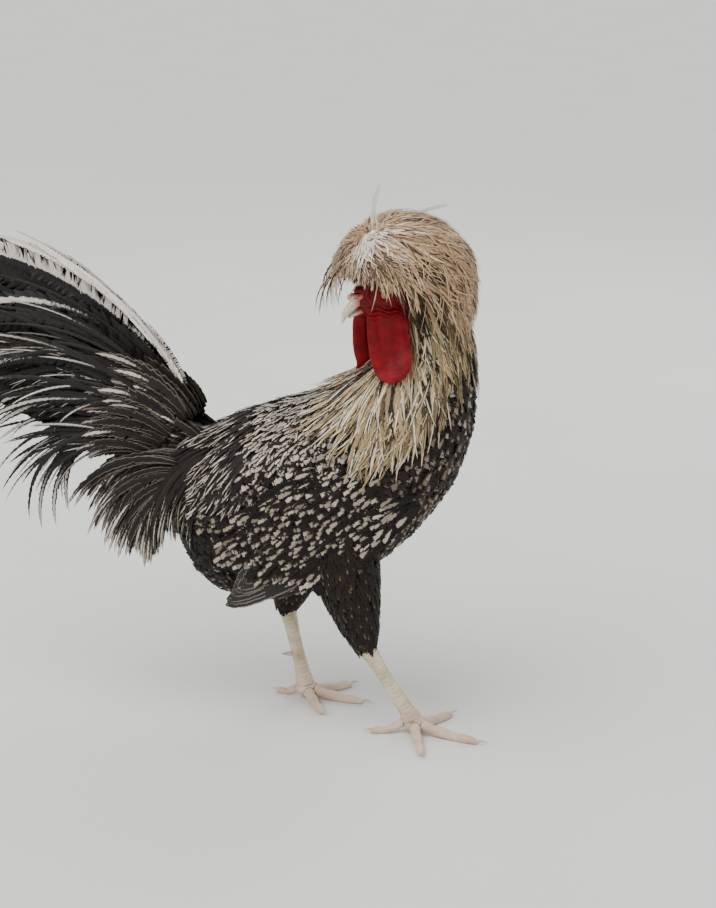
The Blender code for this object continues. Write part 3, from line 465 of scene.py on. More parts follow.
# both hang a little shorter than their solids, and the one that lies against the neck is broader
WATTLE_SHARE, NEAR_BREADTH = 0.95, 1.08
HEAD_ONLY = HEAD_TURN.to_3x3()
HEAD_UP = HEAD_ONLY @ Vector((0, 0, 1))


def head_stations(sections):
    """Stations along the skull or a half of the bill, from rows of forward, up and three half sizes."""
    return [(head_place(x, 0, z), *radii) for x, z, *radii in sections]


bm = bmesh.new()
hose(bm, head_stations(SKULL), HEAD_UP, 30, 32)
body_rings(bm, 7.7, 10, 24, 0.004)
ball(bm, HEAD_TURN.inverted() @ KNOB_MIDDLE, (0.019, 0.019, 0.017))
nape = Vector(body_point(np.array([8.0]), np.array([0.0]), -0.022)[0])
hose(bm, [(head_place(-0.012, 0, -0.002).lerp(nape, k / 3), 0.015, 0.015, 0.013) for k in range(4)], HEAD_UP)
neck_s, neck_turn = np.meshgrid(np.linspace(5.2, 8.4, 90), np.linspace(-np.pi, np.pi, 120), indexing="ij")
neck_places = body_point(neck_s, neck_turn).reshape(-1, 3)
neck_ways = unit(neck_places - along_rows(BODY_SECTIONS, neck_s.ravel())[:, :3])


def over_hackle(place, aside):
    """How far a place is lifted off the neck to hang over the feathers there, partly straight aside."""
    nearest = np.argmin(((neck_places - np.array(place)) ** 2).sum(1))
    depth = 0.0120 - float((np.array(place) - neck_places[nearest]) @ neck_ways[nearest])
    away = Vector(neck_ways[nearest])
    way = (away + aside).normalized()
    return way * 0.5 * (depth + math.hypot(depth, 0.004)) / max(0.5, way.dot(away))


wattle_points = []
wattle_rows = along_rows(np.array(WATTLE), np.linspace(0, len(WATTLE) - 1, 40))
for side, sign in SIDES:
    # the head is turned to the right, so its left wattle is the one that lies against the neck
    near = side == "left"
    aside = HEAD_ONLY @ Vector((0, 0.7 if near else 0.0, 0))
    rings = []
    for down, forward, breadth, thick, outward in wattle_rows:
        ring = []
        for k in range(32):
            turn = 2 * math.pi * k / 32
            fore = math.cos(turn)
            wave = 0.0005 * math.sin(3.1 * down / 0.02 + 2 * fore) * math.sin(turn)
            wave -= 0.0022 * math.exp(-(((fore - 0.62 + 4 * down) / 0.16) ** 2)) * math.exp(-down / 0.05)
            reach = fore * max(breadth * (NEAR_BREADTH if near else 1.0), 4e-4) - 0.0012 * near
            middle = head_place(forward + reach, sign * outward, -0.004 - WATTLE_SHARE * down)
            swell = HEAD_ONLY @ Vector((0, sign * (math.sin(turn) * max(thick, 4e-4) + wave), 0))
            ring.append(middle + swell + over_hackle(middle, aside) * min(1, down / 0.03))
        rings.append(ring)
    wattle_points += [tuple(point) for ring in rings for point in ring]
    bent_grid(bm, rings)
    # ear lobe, the rings of lids, and the two rows of small horns of the comb
    for k, r in enumerate((0.0028, 0.0041, 0.0043, 0.0026)):
        ball(bm, (-0.0115 - 0.0010 * k, sign * (0.0135 + 0.0008 * k), -0.001 - 0.0036 * k), (r, r * 0.62, r))
    for k in range(28):
        turn = 2 * math.pi * k / 28
        thick = 0.0017 + 0.0004 * math.sin(turn)
        x, z = EYE_PLACE[side][0] + 0.0068 * math.cos(turn), EYE_PLACE[side][2] + 0.0056 * math.sin(turn)
        ball(bm, (x, sign * 0.0146, z), (thick, thick, thick), segments=10)
    for k in range(9):
        r = 0.0036 - 0.00030 * k
        place = (0.018 - 0.0012 * k, sign * (0.0036 + 0.0011 * k), 0.0085 + 0.0017 * k)
        ball(bm, place, (r, r * (1.0 + 0.12 * math.sin(2.1 * k)), r), segments=12)
ball(bm, (0.018, 0, 0.0080), (0.0066, 0.0078, 0.0046))
head = melted("skin_head", bm, 0.00078, 3)

places = corners_of(head.data)
normals = rows_of(head.data.vertices, "normal").astype(float)
fore, left, high = in_head(places).T
on_face = np.clip((0.0225 - np.abs(left)) / 0.004, 0, 1) * np.clip((high + 0.017) / 0.004, 0, 1)
on_face *= np.clip((0.019 - high) / 0.004, 0, 1) * np.clip((fore + 0.020) / 0.006, 0, 1)
from_eye = np.hypot((fore - 0.004) / 1.0, (high - 0.004) / 0.86)
cheek = on_face * np.clip((from_eye - 0.0088) / 0.002, 0, 1)
ripple = np.sin(2 * np.pi * (from_eye + 0.0008 * np.sin(fore * 900)) / 0.0026)
jowl = np.sin(2 * np.pi * (high * 0.92 - fore * 0.34 + 0.0009 * np.sin(fore * 420)) / 0.0031)
below = np.clip((-0.002 - high) / 0.003, 0, 1)
height = cheek * (0.00032 * ripple * (1 - below) + 0.00042 * jowl * below)
mouth = np.exp(-(((high + 0.0056 + 0.0016 * np.clip((0.012 - fore) / 0.012, 0, 1)) / 0.0007) ** 2))
height -= 0.0011 * mouth * np.clip((fore - 0.0045) / 0.003, 0, 1) * (np.abs(left) > 0.002)
for i, place in enumerate(places):
    spot = Vector(place)
    pores = 0.00016 * noise.noise(spot * 620) * (0.3 + 0.7 * on_face[i])
    height[i] += pores + 0.0003 * noise.noise(spot * 120)
move_corners(head.data, places + normals * height[:, None])
joined(skin, head, "UNION")

# Bare skin of a fowl: thin, moist and full of blood, so it glows scarlet and shines a little. It flushes in
# patches of 10 mm, and its pores are drawn 0.7 mm apart.
flesh, tree, shader = finish(
    "bare_skin_and_down", Roughness=0.52, Specular_IOR_Level=0.16, Subsurface_Weight=0.08,
    Subsurface_Radius=(1.0, 0.22, 0.14), Subsurface_Scale=0.0022, Coat_Weight=0.02, Coat_Roughness=0.30,
)
place = add(tree, "Attribute", attribute_name="head_place").outputs["Vector"]
bare = add(tree, "Attribute", attribute_name="bare").outputs["Fac"]
spot = add(tree, "TexCoord").outputs["Object"]
blood = add(tree, "TexNoise", {"Vector": spot, "Scale": 95.0, "Detail": 4.0, "Roughness": 0.6})
red = add(tree, "ValToRGB", (blood,), ((0.30, "5A050D"), (0.72, "8E0A16")))
up = add(tree, "SeparateXYZ", (place,)).outputs["Z"]
wattle = add(tree, "MapRange", (up, -0.016, -0.004), interpolation_type="SMOOTHSTEP")
face_red = add(tree, "Mix", {0: wattle, 6: red, 7: linear("6B1118")}, data_type="RGBA")
down_tone = add(tree, "Mix", {0: bare, 6: linear("17110E"), 7: face_red}, data_type="RGBA")
pores = add(tree, "TexNoise", {"Vector": spot, "Scale": 1500.0, "Detail": 2.0})
bump = add(tree, "Bump", {"Height": pores, "Strength": 0.35, "Distance": 0.0003})
plug(shader, {"Base Color": down_tone, "Normal": bump})

places = corners_of(skin.data)
local = in_head(places)
reach = np.linalg.norm((local - (0.004, 0, 0.000)) / (1.0, 1.0, 1.05), axis=1)
bare = np.clip((0.0275 - reach) / 0.003, 0, 1) * np.clip((0.019 - local[:, 2]) / 0.004, 0, 1)
wattle_tree = KDTree(len(wattle_points))
for index, point in enumerate(wattle_points):
    wattle_tree.insert(point, index)
wattle_tree.balance()
for index in np.flatnonzero((np.abs(local[:, 1]) < 0.060) & (local[:, 2] < 0.0) & (local[:, 2] > -0.10)):
    bare[index] = max(bare[index], min(1.0, (0.0052 - wattle_tree.find(places[index])[2]) / 0.0015))
horns = np.linalg.norm((local - (0.014, 0, 0.014)) / (1.1, 1.2, 1.3), axis=1)
bare = np.maximum(bare, np.clip((0.0135 - horns) / 0.002, 0, 1))
give(skin.data, "head_place", local)
give(skin.data, "bare", bare)
settle(skin, flesh)
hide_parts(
    "torso", "neck", "head", "comb", "wattle_left", "wattle_right", "thigh_left", "thigh_right"
)


# Eyes: wet balls with a bright orange-red iris and a round pupil, held by the lids of the skin.
# The rings of the iris are read from how far a point lies from the eye's own axis, and its fibres are 0.5 mm
# apart.
IRIS_RINGS = ((0.0, "050404"), (0.235, "070504"), (0.265, "8C2B0B"), (0.40, "C65A17"), (0.56, "9A3510"))
IRIS_RINGS += ((0.66, "2A1410"),)
iris, tree, shader = finish("wet_iris", Roughness=0.08, Coat_Weight=1.0, Coat_Roughness=0.02)
look = add(tree, "Attribute", attribute_name="from_axis").outputs["Fac"]
spot = add(tree, "TexCoord").outputs["Object"]
fibre = add(tree, "TexNoise", {"Vector": spot, "Scale": 1900.0, "Detail": 2.0})
wander = add(tree, "Math", (fibre, 0.10, -0.05), operation="MULTIPLY_ADD")
ring = add(tree, "Math", (look, wander), operation="ADD")
plug(shader, {"Base Color": add(tree, "ValToRGB", (ring,), IRIS_RINGS)})
for side, sign in SIDES:
    bm = bmesh.new()
    aim = Vector((0.26, sign, 0.02)).normalized().to_track_quat("Z", "Y").to_matrix().to_4x4()
    made = bmesh.ops.create_uvsphere(bm, u_segments=40, v_segments=24, radius=EYE_RADIUS)["verts"]
    tilt = {vert: vert.co.angle(Vector((0, 0, 1))) / 1.35 for vert in made}
    for vert in made:
        vert.co *= 1 + 0.05 * max(0.0, 1 - tilt[vert] / 0.5)
    seen = [tilt[vert] for vert in bm.verts]
    bmesh.ops.transform(bm, verts=made, matrix=HEAD_TURN @ Matrix.Translation(EYE_PLACE[side]) @ aim)
    eye = shaped("eyeball_" + side, bm)
    give(eye.data, "from_axis", seen)
    settle(eye, iris)
    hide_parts("eye_" + side)


# Beak: two halves of pale horn, the upper hooked over the lower and swollen into the high open nostrils of
# the breed. Horn is smooth, a little see-through and worn in layers of 4 mm. It is pinkish where it leaves
# the skin.
UPPER_BILL = (
    (0.0135, -0.0003, 0.0076, 0.0042, 0.0070),
    (0.0222, -0.0006, 0.0058, 0.0036, 0.0058),
    (0.0301, -0.0032, 0.0043, 0.0031, 0.0044),
    (0.0363, -0.0074, 0.0030, 0.0024, 0.0030),
    (0.0399, -0.0124, 0.0015, 0.0013, 0.0016),
    (0.0406, -0.0148, 0.0006, 0.0005, 0.0006),
)
LOWER_BILL = (
    (0.0135, -0.0078, 0.0032, 0.0040, 0.0064),
    (0.0222, -0.0083, 0.0024, 0.0032, 0.0050),
    (0.0298, -0.0096, 0.0014, 0.0022, 0.0034),
    (0.0342, -0.0110, 0.0008, 0.0011, 0.0016),
)
horn, tree, shader = finish(
    "pale_horn", Roughness=0.34, Subsurface_Weight=0.12, Subsurface_Scale=0.0015, Coat_Weight=0.15,
    Coat_Roughness=0.25,
)
place = add(tree, "Attribute", attribute_name="head_place").outputs["Vector"]
forward = add(tree, "SeparateXYZ", (place,))
base = add(tree, "MapRange", (forward, 0.023, 0.033), interpolation_type="SMOOTHSTEP")
spot = add(tree, "TexCoord").outputs["Object"]
layers = add(tree, "TexNoise", {"Vector": spot, "Scale": 240.0, "Detail": 3.0, "Distortion": 0.6})
tint = add(tree, "ValToRGB", (layers,), ((0.3, "B9A489"), (0.7, "E2D5BF")))
rooted = add(tree, "Mix", {0: base, 6: linear("B5655C"), 7: tint}, data_type="RGBA")
wear = add(tree, "Bump", {"Height": layers, "Strength": 0.25, "Distance": 0.0004})
plug(shader, {"Base Color": rooted, "Normal": wear})

for half, sections in (("upper", UPPER_BILL), ("lower", LOWER_BILL)):
    nostrils = [sign for _, sign in SIDES if half == "upper"]
    bm = bmesh.new()
    hose(bm, head_stations(sections), HEAD_UP, 40, 32)
    for sign in nostrils:
        ball(bm, (0.0262, sign * 0.0034, 0.0044), (0.0046, 0.0027, 0.0029))
        ball(bm, (0.0215, sign * 0.0040, 0.0042), (0.0040, 0.0026, 0.0026))
    bill = melted("bill_" + half, bm, 0.00042, 3)
    for sign in nostrils:
        bm = bmesh.new()
        slant = Matrix.Translation((0.0280, sign * 0.0061, 0.0047)) @ Matrix.Rotation(-0.35, 4, "Y")
        ball(bm, (0, 0, 0), (0.0023, 0.0017, 0.0008), HEAD_TURN @ slant, 16)
        joined(bill, shaped("nostril", bm), "DIFFERENCE")
    give(bill.data, "head_place", in_head(corners_of(bill.data)))
    settle(bill, horn)
    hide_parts("beak_" + half)


# Legs and feet: clean, unfeathered shanks and four toes a side, cream, flushed with pink between the scutes.
# Broad scutes overlap down the front of the shank and over each toe, small scales and pads lie behind and
# below. The claws and the short spur are horn, worn dull and streaked.
BALL = {"right": Vector((0.089, -0.024, 0.011)), "left": Vector((-0.029, 0.022, 0.011))}
# toe, heading in degrees, length
TOES = {
    "right": (("middle", -8, 0.073), ("outer", -66, 0.063), ("inner", 62, 0.058), ("hind", 201, 0.046)),
    "left": (("middle", 0, 0.066), ("outer", 48, 0.058), ("inner", -52, 0.054), ("hind", 176, 0.036)),
}
# share of the way from hock to ball, half fore and aft, half width
SHANK_PROFILE = ((-0.10, 0.0050, 0.0050), (0.02, 0.0092, 0.0076), (0.14, 0.0076, 0.0066))
SHANK_PROFILE += ((0.35, 0.0064, 0.0054), (0.60, 0.0062, 0.0052), (0.82, 0.0070, 0.0064))
SHANK_PROFILE += ((0.94, 0.0084, 0.0086), (1.03, 0.0076, 0.0082))
# share of the length, how far up towards the ball, radius: two pads, then the root of the claw
TOE_PROFILE = ((0.00, 0.95, 0.0058), (0.14, 0.70, 0.0058), (0.26, 0.36, 0.0049), (0.38, 0.15, 0.0053))
TOE_PROFILE += ((0.54, 0.10, 0.0042), (0.68, 0.10, 0.0046), (0.78, 0.12, 0.0036), (0.84, 0.13, 0.0026))
TOE_SLIMNESS, HIND_TOE_SLIMNESS = 0.9, 0.82
SCUTE, TOE_SCUTE, RING_STEP = 0.0042, 0.0027, 0.00055
SPUR_PLACE, SPUR_RADII = 0.60, (0.0030, 0.0024, 0.0016, 0.0008)
SPUR_WAY = {"right": Vector((-0.80, 0.58, 0.10)), "left": Vector((-0.80, -0.58, 0.10))}
UP = Vector((0, 0, 1))


def scaled_tube(bm, stations, up, pitch, rise, sides, paired=False):
    """A tube with overlapping scutes, one pitch long, on its upper side, and pads below. Paired scutes lie in
    two columns, half a pitch apart."""
    places = np.array([tuple(place) for place, *_ in stations])
    known = np.concatenate(((0,), np.cumsum(np.linalg.norm(np.diff(places, axis=0), axis=1))))
    run = np.linspace(0, known[-1], int(known[-1] / RING_STEP))
    fine, ways = run_along(stations, np.interp(run, known, np.arange(len(known))))
    rings = []
    for far, row, way in zip(run, fine, ways):
        middle = Vector(row[:3])
        ring = []
        for k, point in enumerate(oval(middle, Vector(way[:3]), up, *row[3:], sides)):
            turn = (2 * math.pi * k / sides + math.pi) % (2 * math.pi) - math.pi
            part = (far / pitch + 0.5 * (paired and turn > 0) + 0.16 * math.cos(3 * turn)) % 1.0
            front = max(0.0, min(1.0, (1.9 - abs(turn)) / 0.35))
            slat = rise * (part**0.8 - 0.5 - 1.1 * max(0.0, part - 0.88) / 0.12)
            slat -= 0.6 * rise * math.exp(-((turn / 0.10) ** 2)) * paired
            grain = 0.45 * rise * noise.noise(point * 900)
            grain += 0.3 * rise * math.sin(far / 0.0011) * math.sin(turn * 7)
            ring.append(point + (point - middle).normalized() * (front * slat + (1 - front) * grain))
        rings.append(ring)
    bent_grid(bm, rings)


def toe_stations(side, toe, heading, length):
    """Stations of a toe that comes down from the ball of the foot to the ground, and its direction."""
    start = BALL[side] + Vector((0, 0, 0.006 if toe == "hind" else -0.002))
    way = Vector((math.cos(math.radians(heading)), math.sin(math.radians(heading)), 0))
    stations = []
    for t, hang, radius in TOE_PROFILE:
        radius *= TOE_SLIMNESS * (HIND_TOE_SLIMNESS if toe == "hind" else 1.0)
        rest = radius * 0.86
        height = rest + (start.z - rest) * hang if t < 0.5 else rest + 0.010 * (hang - 0.1)
        place = Vector((start.x, start.y, 0)) + way * length * t + Vector((0, 0, max(height, radius * 0.6)))
        stations.append((place, radius, radius * 0.95, radius * 0.98))
    return stations, way


# Leg skin: dry and waxy, so it glows a little and hardly shines. It has blotches of 14 mm and cells of 2 mm.
scaly, tree, shader = finish(
    "scaly_leg_skin", Roughness=0.48, Subsurface_Weight=0.15, Subsurface_Scale=0.0018,
    Subsurface_Radius=(1.0, 0.45, 0.3), Coat_Weight=0.08,
)
spot = add(tree, "TexCoord").outputs["Object"]
low = add(tree, "SeparateXYZ", (spot,)).outputs["Z"]
blotch = add(tree, "TexNoise", {"Vector": spot, "Scale": 70.0, "Detail": 3.0})
cream = add(tree, "ValToRGB", (blotch,), ((0.32, "AD9B74"), (0.68, "DCD2B6")))
pink = add(tree, "Mix", {0: 0.5, 6: cream, 7: linear("D9B3A6")}, data_type="RGBA")
foot = add(tree, "MapRange", (low, 0.052, 0.012))
flush = add(tree, "Mix", {0: foot, 6: cream, 7: pink}, data_type="RGBA")
cells = add(tree, "TexVoronoi", {"Vector": spot, "Scale": 520.0}, feature="DISTANCE_TO_EDGE")
groove = add(tree, "MapRange", (cells, 0.0, 0.16))
# painted shade and dirt: the skin darkens towards 74604C where it lies sunk in a hollow between scutes and
# toes
hollow = add(tree, "Attribute", attribute_name="hollow").outputs["Fac"]
dirt_and_hollow_shade = add(tree, "Mix", {0: hollow, 6: flush, 7: linear("74604C")}, data_type="RGBA")
scales = add(tree, "Bump", {"Height": groove, "Strength": 0.30, "Distance": 0.0003})
plug(shader, {"Base Color": dirt_and_hollow_shade, "Normal": scales})

claw_horn, tree, shader = finish("claw_horn", Roughness=0.36, Coat_Weight=0.12)
spot = add(tree, "TexCoord").outputs["Object"]
streaks = add(tree, "TexNoise", {"Vector": spot, "Scale": 420.0, "Detail": 3.0})
tint = add(tree, "ValToRGB", (streaks,), ((0, "A08C76"), (1, "DDD0BC")))
wear = add(tree, "Bump", {"Height": streaks, "Strength": 0.2, "Distance": 0.0003})
plug(shader, {"Base Color": tint, "Normal": wear})

for side, _ in SIDES:
    hock, ball_of_foot = HOCK[side], BALL[side]
    toes = [(*toe_stations(side, *toe), toe[2]) for toe in TOES[side]]
    bm = bmesh.new()
    shank = [(hock.lerp(ball_of_foot, t), fore, fore, wide) for t, fore, wide in SHANK_PROFILE]
    scaled_tube(bm, shank, LEG_FRONT, SCUTE, 0.00055, 44, paired=True)
    for stations, _, _ in toes:
        scaled_tube(bm, stations, UP, TOE_SCUTE, 0.00065, 26)
    ball(bm, ball_of_foot + Vector((0, 0, -0.0015)), (0.0098, 0.0098, 0.0078), Matrix.Identity(4))
    leg = melted("leg_" + side, bm, 0.00062, 1)
    places = corners_of(leg.data)
    normals = rows_of(leg.data.vertices, "normal")
    places[:, 2] = np.maximum(places[:, 2], 0.0)
    move_corners(leg.data, places)
    # dirt and shade gather where a corner lies lower than those round it
    pairs = rows_of(leg.data.edges, "vertices", 2, np.int32)
    relaxed = places
    for _ in range(4):
        total = np.zeros_like(relaxed)
        number = np.zeros(len(relaxed))
        for a, b in ((0, 1), (1, 0)):
            np.add.at(total, pairs[:, a], relaxed[pairs[:, b]])
            np.add.at(number, pairs[:, a], 1)
        relaxed = total / number[:, None]
    sunk = ((relaxed - places) * normals).sum(1)
    give(leg.data, "hollow", np.clip(sunk / 0.00013, 0, 0.85))
    settle(leg, scaly)
    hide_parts("shank_" + side, *["toe_" + side + "_" + toe for toe, _, _ in TOES[side]])

    bm = bmesh.new()
    for stations, way, length in toes:
        root, radius = stations[-1][:2]
        claw = []
        for k in range(7):
            t = k / 6
            drop = Vector((0, 0, 0.0028 * math.sin(math.pi * t * 0.8) - t * (root.z - 0.0012)))
            thick = radius * (0.86 - 0.78 * t)
            claw.append((root + way * (length * 0.19 * t - 0.0025) + drop, thick, thick, thick * 0.74))
        hose(bm, claw, UP, 22, 16)
    place = hock.lerp(ball_of_foot, SPUR_PLACE)
    spur = [(place + SPUR_WAY[side] * (0.003 + 0.0042 * k), r, r, r) for k, r in enumerate(SPUR_RADII)]
    hose(bm, spur, UP, 14, 16)
    for vert in bm.verts:
        vert.co.z = max(vert.co.z, 0.0)
    bmesh.ops.recalc_face_normals(bm, faces=bm.faces)
    settle(shaped("claws_" + side, bm), claw_horn)


# Breast, belly and back: some thousand soft contour feathers, set in staggered rows like tiles, each one a
# thin blade with a ridge for its shaft and barbs that part along its edges. Brown-black, spangled grey, buff
# and white. A blade's outline is given as the share of its half width at shares of its length.
ROUND_TIP = ((0, 0.30), (0.15, 0.62), (0.45, 0.96), (0.70, 1.0), (0.86, 0.84), (0.95, 0.52), (1, 0.10))
LANCE_TIP = ((0, 0.35), (0.2, 0.82), (0.45, 1.0), (0.75, 0.74), (0.92, 0.34), (1, 0.03))
# shares of a feather's length at which it has a ring of corners: few at the hidden root, many at the seen end
COVERED = np.concatenate(((0.0, 0.25), np.linspace(0.42, 1, 9)))
OPEN = np.concatenate(((0.0,), np.linspace(0.16, 1, 14)))
# real barbs lie 0.3 mm apart; they are drawn in bunches of this width, or they would not show
BARB_WIDTH_MM = 1.2


def feather_finish(name, deep, warm, grey, pale, edge=None, roughness=0.6, sheen=0.015, gloss=0.0):
    """Keratin barbs, matt and faintly ribbed, with flecks of 2 mm. Each feather's own paint says how it is
    marked: how long its pale tip is, how warm its ground, how it differs from its neighbours, and how white
    its tip."""
    material, tree, shader = finish(
        name, Roughness=roughness, Specular_IOR_Level=0.20, Sheen_Weight=sheen, Sheen_Roughness=0.5,
        Coat_Weight=gloss, Coat_Roughness=0.3,
    )
    plus, soft = {"operation": "MULTIPLY_ADD"}, {"interpolation_type": "SMOOTHSTEP"}
    colours = {"data_type": "RGBA"}
    lie = add(tree, "Attribute", attribute_name="lie").outputs["Vector"]
    share, across, run = add(tree, "SeparateXYZ", (lie,)).outputs
    paint = add(tree, "Attribute", attribute_name="paint").outputs
    tip_reach, warmth, tone = add(tree, "SeparateColor", (paint["Color"],)).outputs
    spot = add(tree, "TexCoord").outputs["Object"]
    flecks = add(tree, "TexNoise", {"Vector": spot, "Scale": 480.0, "Detail": 2.0, "Roughness": 0.6})
    aside = add(tree, "Math", (across,), operation="ABSOLUTE")
    phase = add(tree, "Math", (aside, -2.4, run), **plus)
    phase = add(tree, "Math", (phase, 2 * math.pi / BARB_WIDTH_MM, 0.0), **plus)
    barbs = add(tree, "Math", (phase,), operation="SINE")
    # the pale tip is a drop that narrows towards the root, the narrower the longer it is, with a ragged
    # border; only where it takes the whole feather does it reach both edges
    narrow = add(tree, "Math", (aside, aside), operation="MULTIPLY")
    long_tip = add(tree, "Math", (tip_reach, tip_reach), operation="MULTIPLY")
    slope = add(tree, "Math", (long_tip, -4.2, -0.16), **plus)
    narrow = add(tree, "Math", (narrow, slope), operation="MULTIPLY")
    part = add(tree, "MapRange", (tip_reach, 0.97, 0.80), **soft)
    narrow = add(tree, "Math", (narrow, part), operation="MULTIPLY")
    reach = add(tree, "Math", (share, tip_reach), operation="ADD")
    reach = add(tree, "Math", (reach, narrow), operation="ADD")
    reach = add(tree, "Math", (flecks, 0.36, reach), **plus)
    reach = add(tree, "Math", (barbs, 0.025, reach), **plus)
    tip = add(tree, "MapRange", (reach, 1.14, 1.30), **soft)
    # those of a high tone have a dark streak along the shaft
    shaft = add(tree, "MapRange", (aside, 0.40, 0.12), **soft)
    streaked = add(tree, "MapRange", (tone, 0.50, 0.75), **soft)
    streak = add(tree, "Math", (shaft, streaked), operation="MULTIPLY")
    ground = add(tree, "Math", (flecks, 0.6, -0.3), **plus)
    ground = add(tree, "Math", (ground, warmth), operation="ADD", use_clamp=True)
    ground = add(tree, "Mix", {0: ground, 6: linear(deep), 7: linear(warm)}, **colours)
    ground = add(tree, "Mix", {0: streak, 6: ground, 7: linear(deep)}, **colours)
    mark = add(tree, "Mix", {0: paint["Alpha"], 6: linear(grey), 7: linear(pale)}, **colours)
    colour = add(tree, "Mix", {0: tip, 6: ground, 7: mark}, **colours)
    if edge:
        rim = add(tree, "Math", (flecks, 0.12, aside), **plus)
        rim = add(tree, "MapRange", (rim, 0.86, 0.93), **soft)
        colour = add(tree, "Mix", {0: rim, 6: colour, 7: linear(edge)}, **colours)
    level = add(tree, "Math", (tone, 0.30, 0.84), **plus)
    level = add(tree, "Math", (barbs, 0.08, level), **plus)
    shaded = add(tree, "VectorMath", {0: colour, "Scale": level}, operation="SCALE")
    ribs = add(tree, "Math", (flecks, 0.6, barbs), **plus)
    bump = add(tree, "Bump", {"Height": ribs, "Strength": 0.30, "Distance": 0.0002})
    plug(shader, {"Base Color": shaded, "Normal": bump})
    return material


def painted(rng, tip, warm, pale, tones=(0.0, 1.0)):
    """The paint of each feather: reach of the pale tip, warmth, tone, and how pale that tip is."""
    count = len(tip)
    warm = warm + rng.normal(0, 0.14, count)
    tone = rng.uniform(*tones, count)
    pale = pale + rng.normal(0, 0.20, count)
    return np.clip(np.stack((tip, warm, tone, pale), axis=-1), 0, 1)


def some_tips(rng, chance, low, high, count):
    """How far the pale tips of some feathers reach. The rest have none."""
    return np.where(rng.random(count) < chance, rng.uniform(low, high, count), 0.0)


def sheaf(
    name, lines, shares, width, outline, paint, spot, material,
    fray, slant, seed, split=0.10, cup=0.12, thick=0.0006, loose=0.10, lean=0.0,
):
    """One piece of many feathers. Each has a line of points and outward directions from root to tip, and a
    width. Its rings have three corners: both edges, which jump out and in as the barbs part, and the ridge of
    the shaft. Lean moves the middle of the marks from the shaft towards one edge."""
    rng = np.random.default_rng(seed)
    line, out = lines
    many = count, rings = line.shape[:2]
    u = np.asarray(shares)
    way = unit(np.gradient(line, axis=1))
    out = unit(out - way * (out * way).sum(-1, keepdims=True))
    side = np.cross(way, out)
    half = width[:, None] * np.interp(u, *zip(*outline))
    barb_out = (np.arange(rings) % 2)[None]
    corners = np.empty((count, rings, 3, 3))
    for corner, sign in ((0, -1), (2, 1)):
        notch = np.where(rng.random(many) < split, 0.55, fray * rng.uniform(0.4, 1.0, many))
        reach = half * (1 - notch * (1 - barb_out) * np.clip(u * 4, 0, 1)) * rng.uniform(0.94, 1.05, many)
        lead = slant * reach * (0.35 + 0.65 * barb_out * rng.uniform(0.7, 1.2, many))
        lift = -cup * reach + loose * reach * rng.normal(0, 1, many) * np.clip(u * 2 - 0.3, 0, 1)
        edge = line + side * (sign * reach)[..., None] + way * lead[..., None]
        corners[:, :, corner] = edge + out * lift[..., None]
    corners[:, :, 1] = line + out * (thick * (1.05 - u))[None, :, None]
    one = [(0, 2, 1), (3 * rings - 3, 3 * rings - 2, 3 * rings - 1)]
    for k in range(0, 3 * rings - 3, 3):
        for a, b in ((k, k + 1), (k + 1, k + 2), (k + 2, k)):
            one += [(a, b, b + 3), (a, b + 3, a + 3)]
    faces = (np.array(one)[None] + (np.arange(count) * rings * 3)[:, None, None]).reshape(-1, 3)
    mesh = bpy.data.meshes.new(name)
    mesh.from_pydata(corners.reshape(-1, 3).tolist(), [], faces.tolist())
    # lie is the share of the length, the place from edge to edge, and the run along the shaft in millimetres
    across = np.array((-1.0, 0.0, 1.0))
    lie = np.zeros((count, rings, 3, 3))
    lie[..., 0] = u[None, :, None]
    lie[..., 1] = across + np.broadcast_to(lean, count)[:, None, None]
    length = np.linalg.norm(np.diff(line, axis=1), axis=-1).sum(1)
    lie[..., 2] = 1000 * length[:, None, None] * u[None, :, None]
    give(mesh, "lie", lie.reshape(-1, 3))
    give(mesh, "paint", np.repeat(paint, rings * 3, axis=0))
    patch = np.stack(np.broadcast_arrays(across * 0.0014, (u[:, None] - 0.5) * 0.003), axis=-1)
    flat = (spot[:, None, None] + patch[None]).reshape(-1, 2)
    layer = mesh.uv_layers.new(name="OFBake")
    layer.data.foreach_set("uv", flat[faces.ravel()].astype(np.float32).ravel())
    kinds = rows_of(mesh.edges, "vertices", 2, np.int32) % 3
    edge_line = (kinds[:, 0] == kinds[:, 1]) & (kinds[:, 0] != 1)
    mesh.attributes.new("sharp_edge", "BOOLEAN", "EDGE").data.foreach_set("value", edge_line)
    return settle(placed(name, mesh), material)


def spread(first, second):
    """Root places as shares of their ranges, for the bake's unwrap of the skin."""
    shares = []
    for values in (np.asarray(first, float), np.asarray(second, float)):
        shares.append(0.03 + 0.94 * (values - values.min()) / max(np.ptp(values), 1e-9))
    return np.stack(shares, axis=-1)


def roots_on_body(low, high, pitch, rng):
    """Staggered rows of roots round the trunk or neck, about a pitch apart."""
    found = []
    s = low
    turns = np.linspace(-np.pi, np.pi, 97)
    while s < high:
        ring = body_point(np.full(97, s), turns)
        run = np.concatenate(((0,), np.cumsum(np.linalg.norm(np.diff(ring, axis=0), axis=1))))
        count = max(6, int(run[-1] / pitch))
        places = np.arange(count) + 0.5 * (len(found) % 2) + rng.uniform(-0.25, 0.25, count)
        places = places / count * run[-1]
        ahead = np.linalg.norm(body_point(np.full(97, s + 0.01), turns) - ring, axis=1).max() / 0.01
        step = 0.85 * pitch / ahead
        row = s + rng.uniform(-0.25, 0.25, count) * step
        found.append(np.stack((row, np.interp(places % run[-1], run, turns)), -1))
        s += step
    return np.concatenate(found).T


